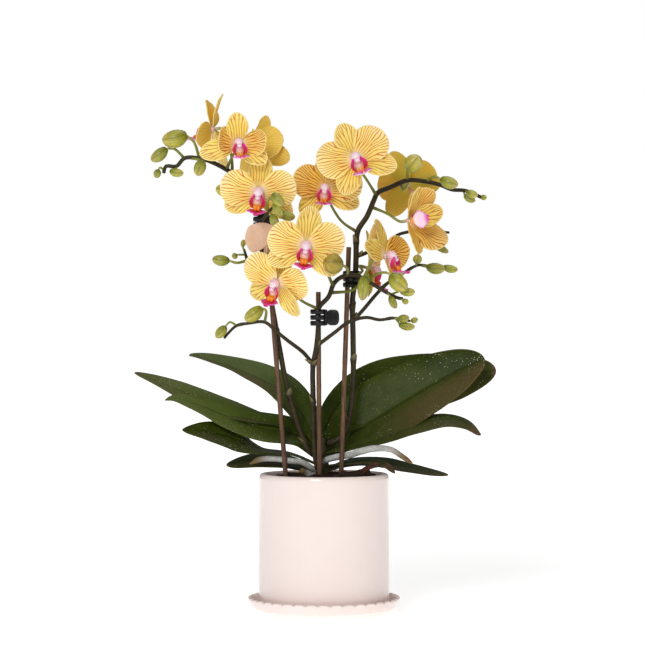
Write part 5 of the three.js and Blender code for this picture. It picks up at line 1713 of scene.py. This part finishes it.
def tag():
    at = seen(*TAG["at"])
    edge = Route([Vector((x, 0, z)) for x, z in TAG_OUTLINE], closed=True)

    def place(u, v):
        spot = edge.at(u) * v
        bow = 0.35 * math.cos(spot.x / 9) - 0.25
        return at + Vector((spot.x, -bow, spot.z))

    card = shaped("tag_card", 96, 10, place)
    weld(card)
    face_outwards(card)
    thickened(card, TAG["thickness"])
    softened(card, 0.12)
    foot, head = (Vector(end) for end in STAKES["stake_left"])

    def along(z):
        return seen(*foot.lerp(head, (z - foot[1]) / (head[1] - foot[1])))

    ends = [along(TAG["low"]), along(TAG["high"])]
    wall = TAG["outer"] - TAG["inner"]
    sleeve_route = Route(ends)
    sleeve = shaped("sleeve", 32, 8, lambda u, v: sleeve_route.round(v, TAG["outer"] - wall / 2, u))
    weld(sleeve)
    thickened(sleeve, wall)
    span = ends[0].y - at.y - (TAG["inner"] + TAG["outer"]) / 2
    middle = Vector((ends[0].x - 0.4, at.y + span / 2, (ends[0].z + ends[1].z) / 2))
    web = clip_block((1.2, span, 5.5), middle, 0.0, 0.3)
    piece = joined("tag_card", [paint(part, CARD) for part in (card, sleeve, web)])
    return stands_for(piece, "card", "tag")


# ---------------------------------------------------------------- the whole plant

saucer()
pot()
nursery_pot()
bark_bed()
bark_flake()
crown()
for order, (leaf_name, leaf_shape) in enumerate(LEAVES.items()):
    leaf(leaf_name, leaf_shape, order + 1)
for order, (root_name, root_shape) in enumerate(ROOTS.items()):
    root(root_name, root_shape, order + 1)
for order, (bloom_name, bloom_shape) in enumerate(BLOOMS.items()):
    bloom(bloom_name, bloom_shape, order * 17 + 1)
    lip(bloom_name, bloom_shape)
for order, (spike_name, spike_shape) in enumerate(SPIKES.items()):
    spike(spike_name, spike_shape, order * 41)
for order, (stake_name, stake_ends) in enumerate(STAKES.items()):
    stake(stake_name, stake_ends, order + 1)
for clip_name, clip_shape in CLIPS.items():
    clip(clip_name, clip_shape)
tag()

# ---------------------------------------------------------------- floor, light and view

# Metres, and strengths of light. The floor glows a little, and more where the lamps don't reach it.
FLOOR = {"width": 24.0, "glow": 0.5, "far_glow": 0.95, "lit_to": 0.3, "dark_from": 1.8, "gap": 0.0003,
         "greys": [(0.93, 0.93, 0.93, 1), (0.95, 0.95, 0.95, 1)]}
AMBIENT = 0.24
WHITE = (1, 1, 1, 1)
# Each lamp's place, what it is aimed at, how wide it is, and its watts.
LAMPS = {
    "key": ((-0.75, -2.6, 1.6), (0, 0, 0.25), 1.0, 32),
    "fill": ((1.9, -1.8, 1.0), (0, 0, 0.25), 1.6, 3),
    "top": ((0.2, 0.3, 2.2), (0, 0, 0.2), 1.6, 12),
}


def floor_look(w):
    x, y, _ = w.split(w.place())
    away = w.length(x, y)
    far = w.step(FLOOR["lit_to"], FLOOR["dark_from"], away)
    glow = w.line(far, FLOOR["far_glow"] - FLOOR["glow"], FLOOR["glow"])
    return {"Base Color": w.mix(w.noise(w.place(), 3.0), *FLOOR["greys"]), "Emission Strength": glow}


def floor():
    piece = primitive("plane", size=FLOOR["width"])
    piece.name = "floor"
    piece.data.transform(Matrix.Translation((0, 0, -FLOOR["gap"])))
    paint(piece, material("studio floor", floor_look, roughness=0.9, emission_color=WHITE))


def surround():
    """A soft even light from all sides that the camera sees as plain white."""
    world = bpy.context.scene.world or bpy.data.worlds.new("studio")
    bpy.context.scene.world = world
    world.use_nodes = True
    wires = Wires(world.node_tree)
    seen_straight = wires.node("ShaderNodeLightPath").outputs["Is Camera Ray"]
    background = world.node_tree.nodes["Background"]
    background.inputs["Color"].default_value = WHITE
    wires.feed(background.inputs["Strength"], wires.line(seen_straight, 1 - AMBIENT, AMBIENT))


def light(name, at, aim, size, power):
    bpy.ops.object.light_add(type="AREA", location=at)
    lamp = bpy.context.object
    lamp.name = name
    lamp.data.shape = "DISK"
    lamp.data.size = size
    lamp.data.energy = power
    way = Vector(aim) - Vector(at)
    lamp.rotation_euler = way.to_track_quat("-Z", "Y").to_euler()


floor()
for lamp_name, lamp_values in LAMPS.items():
    light(lamp_name, *lamp_values)
surround()
bpy.context.scene.view_settings.view_transform = "Standard"
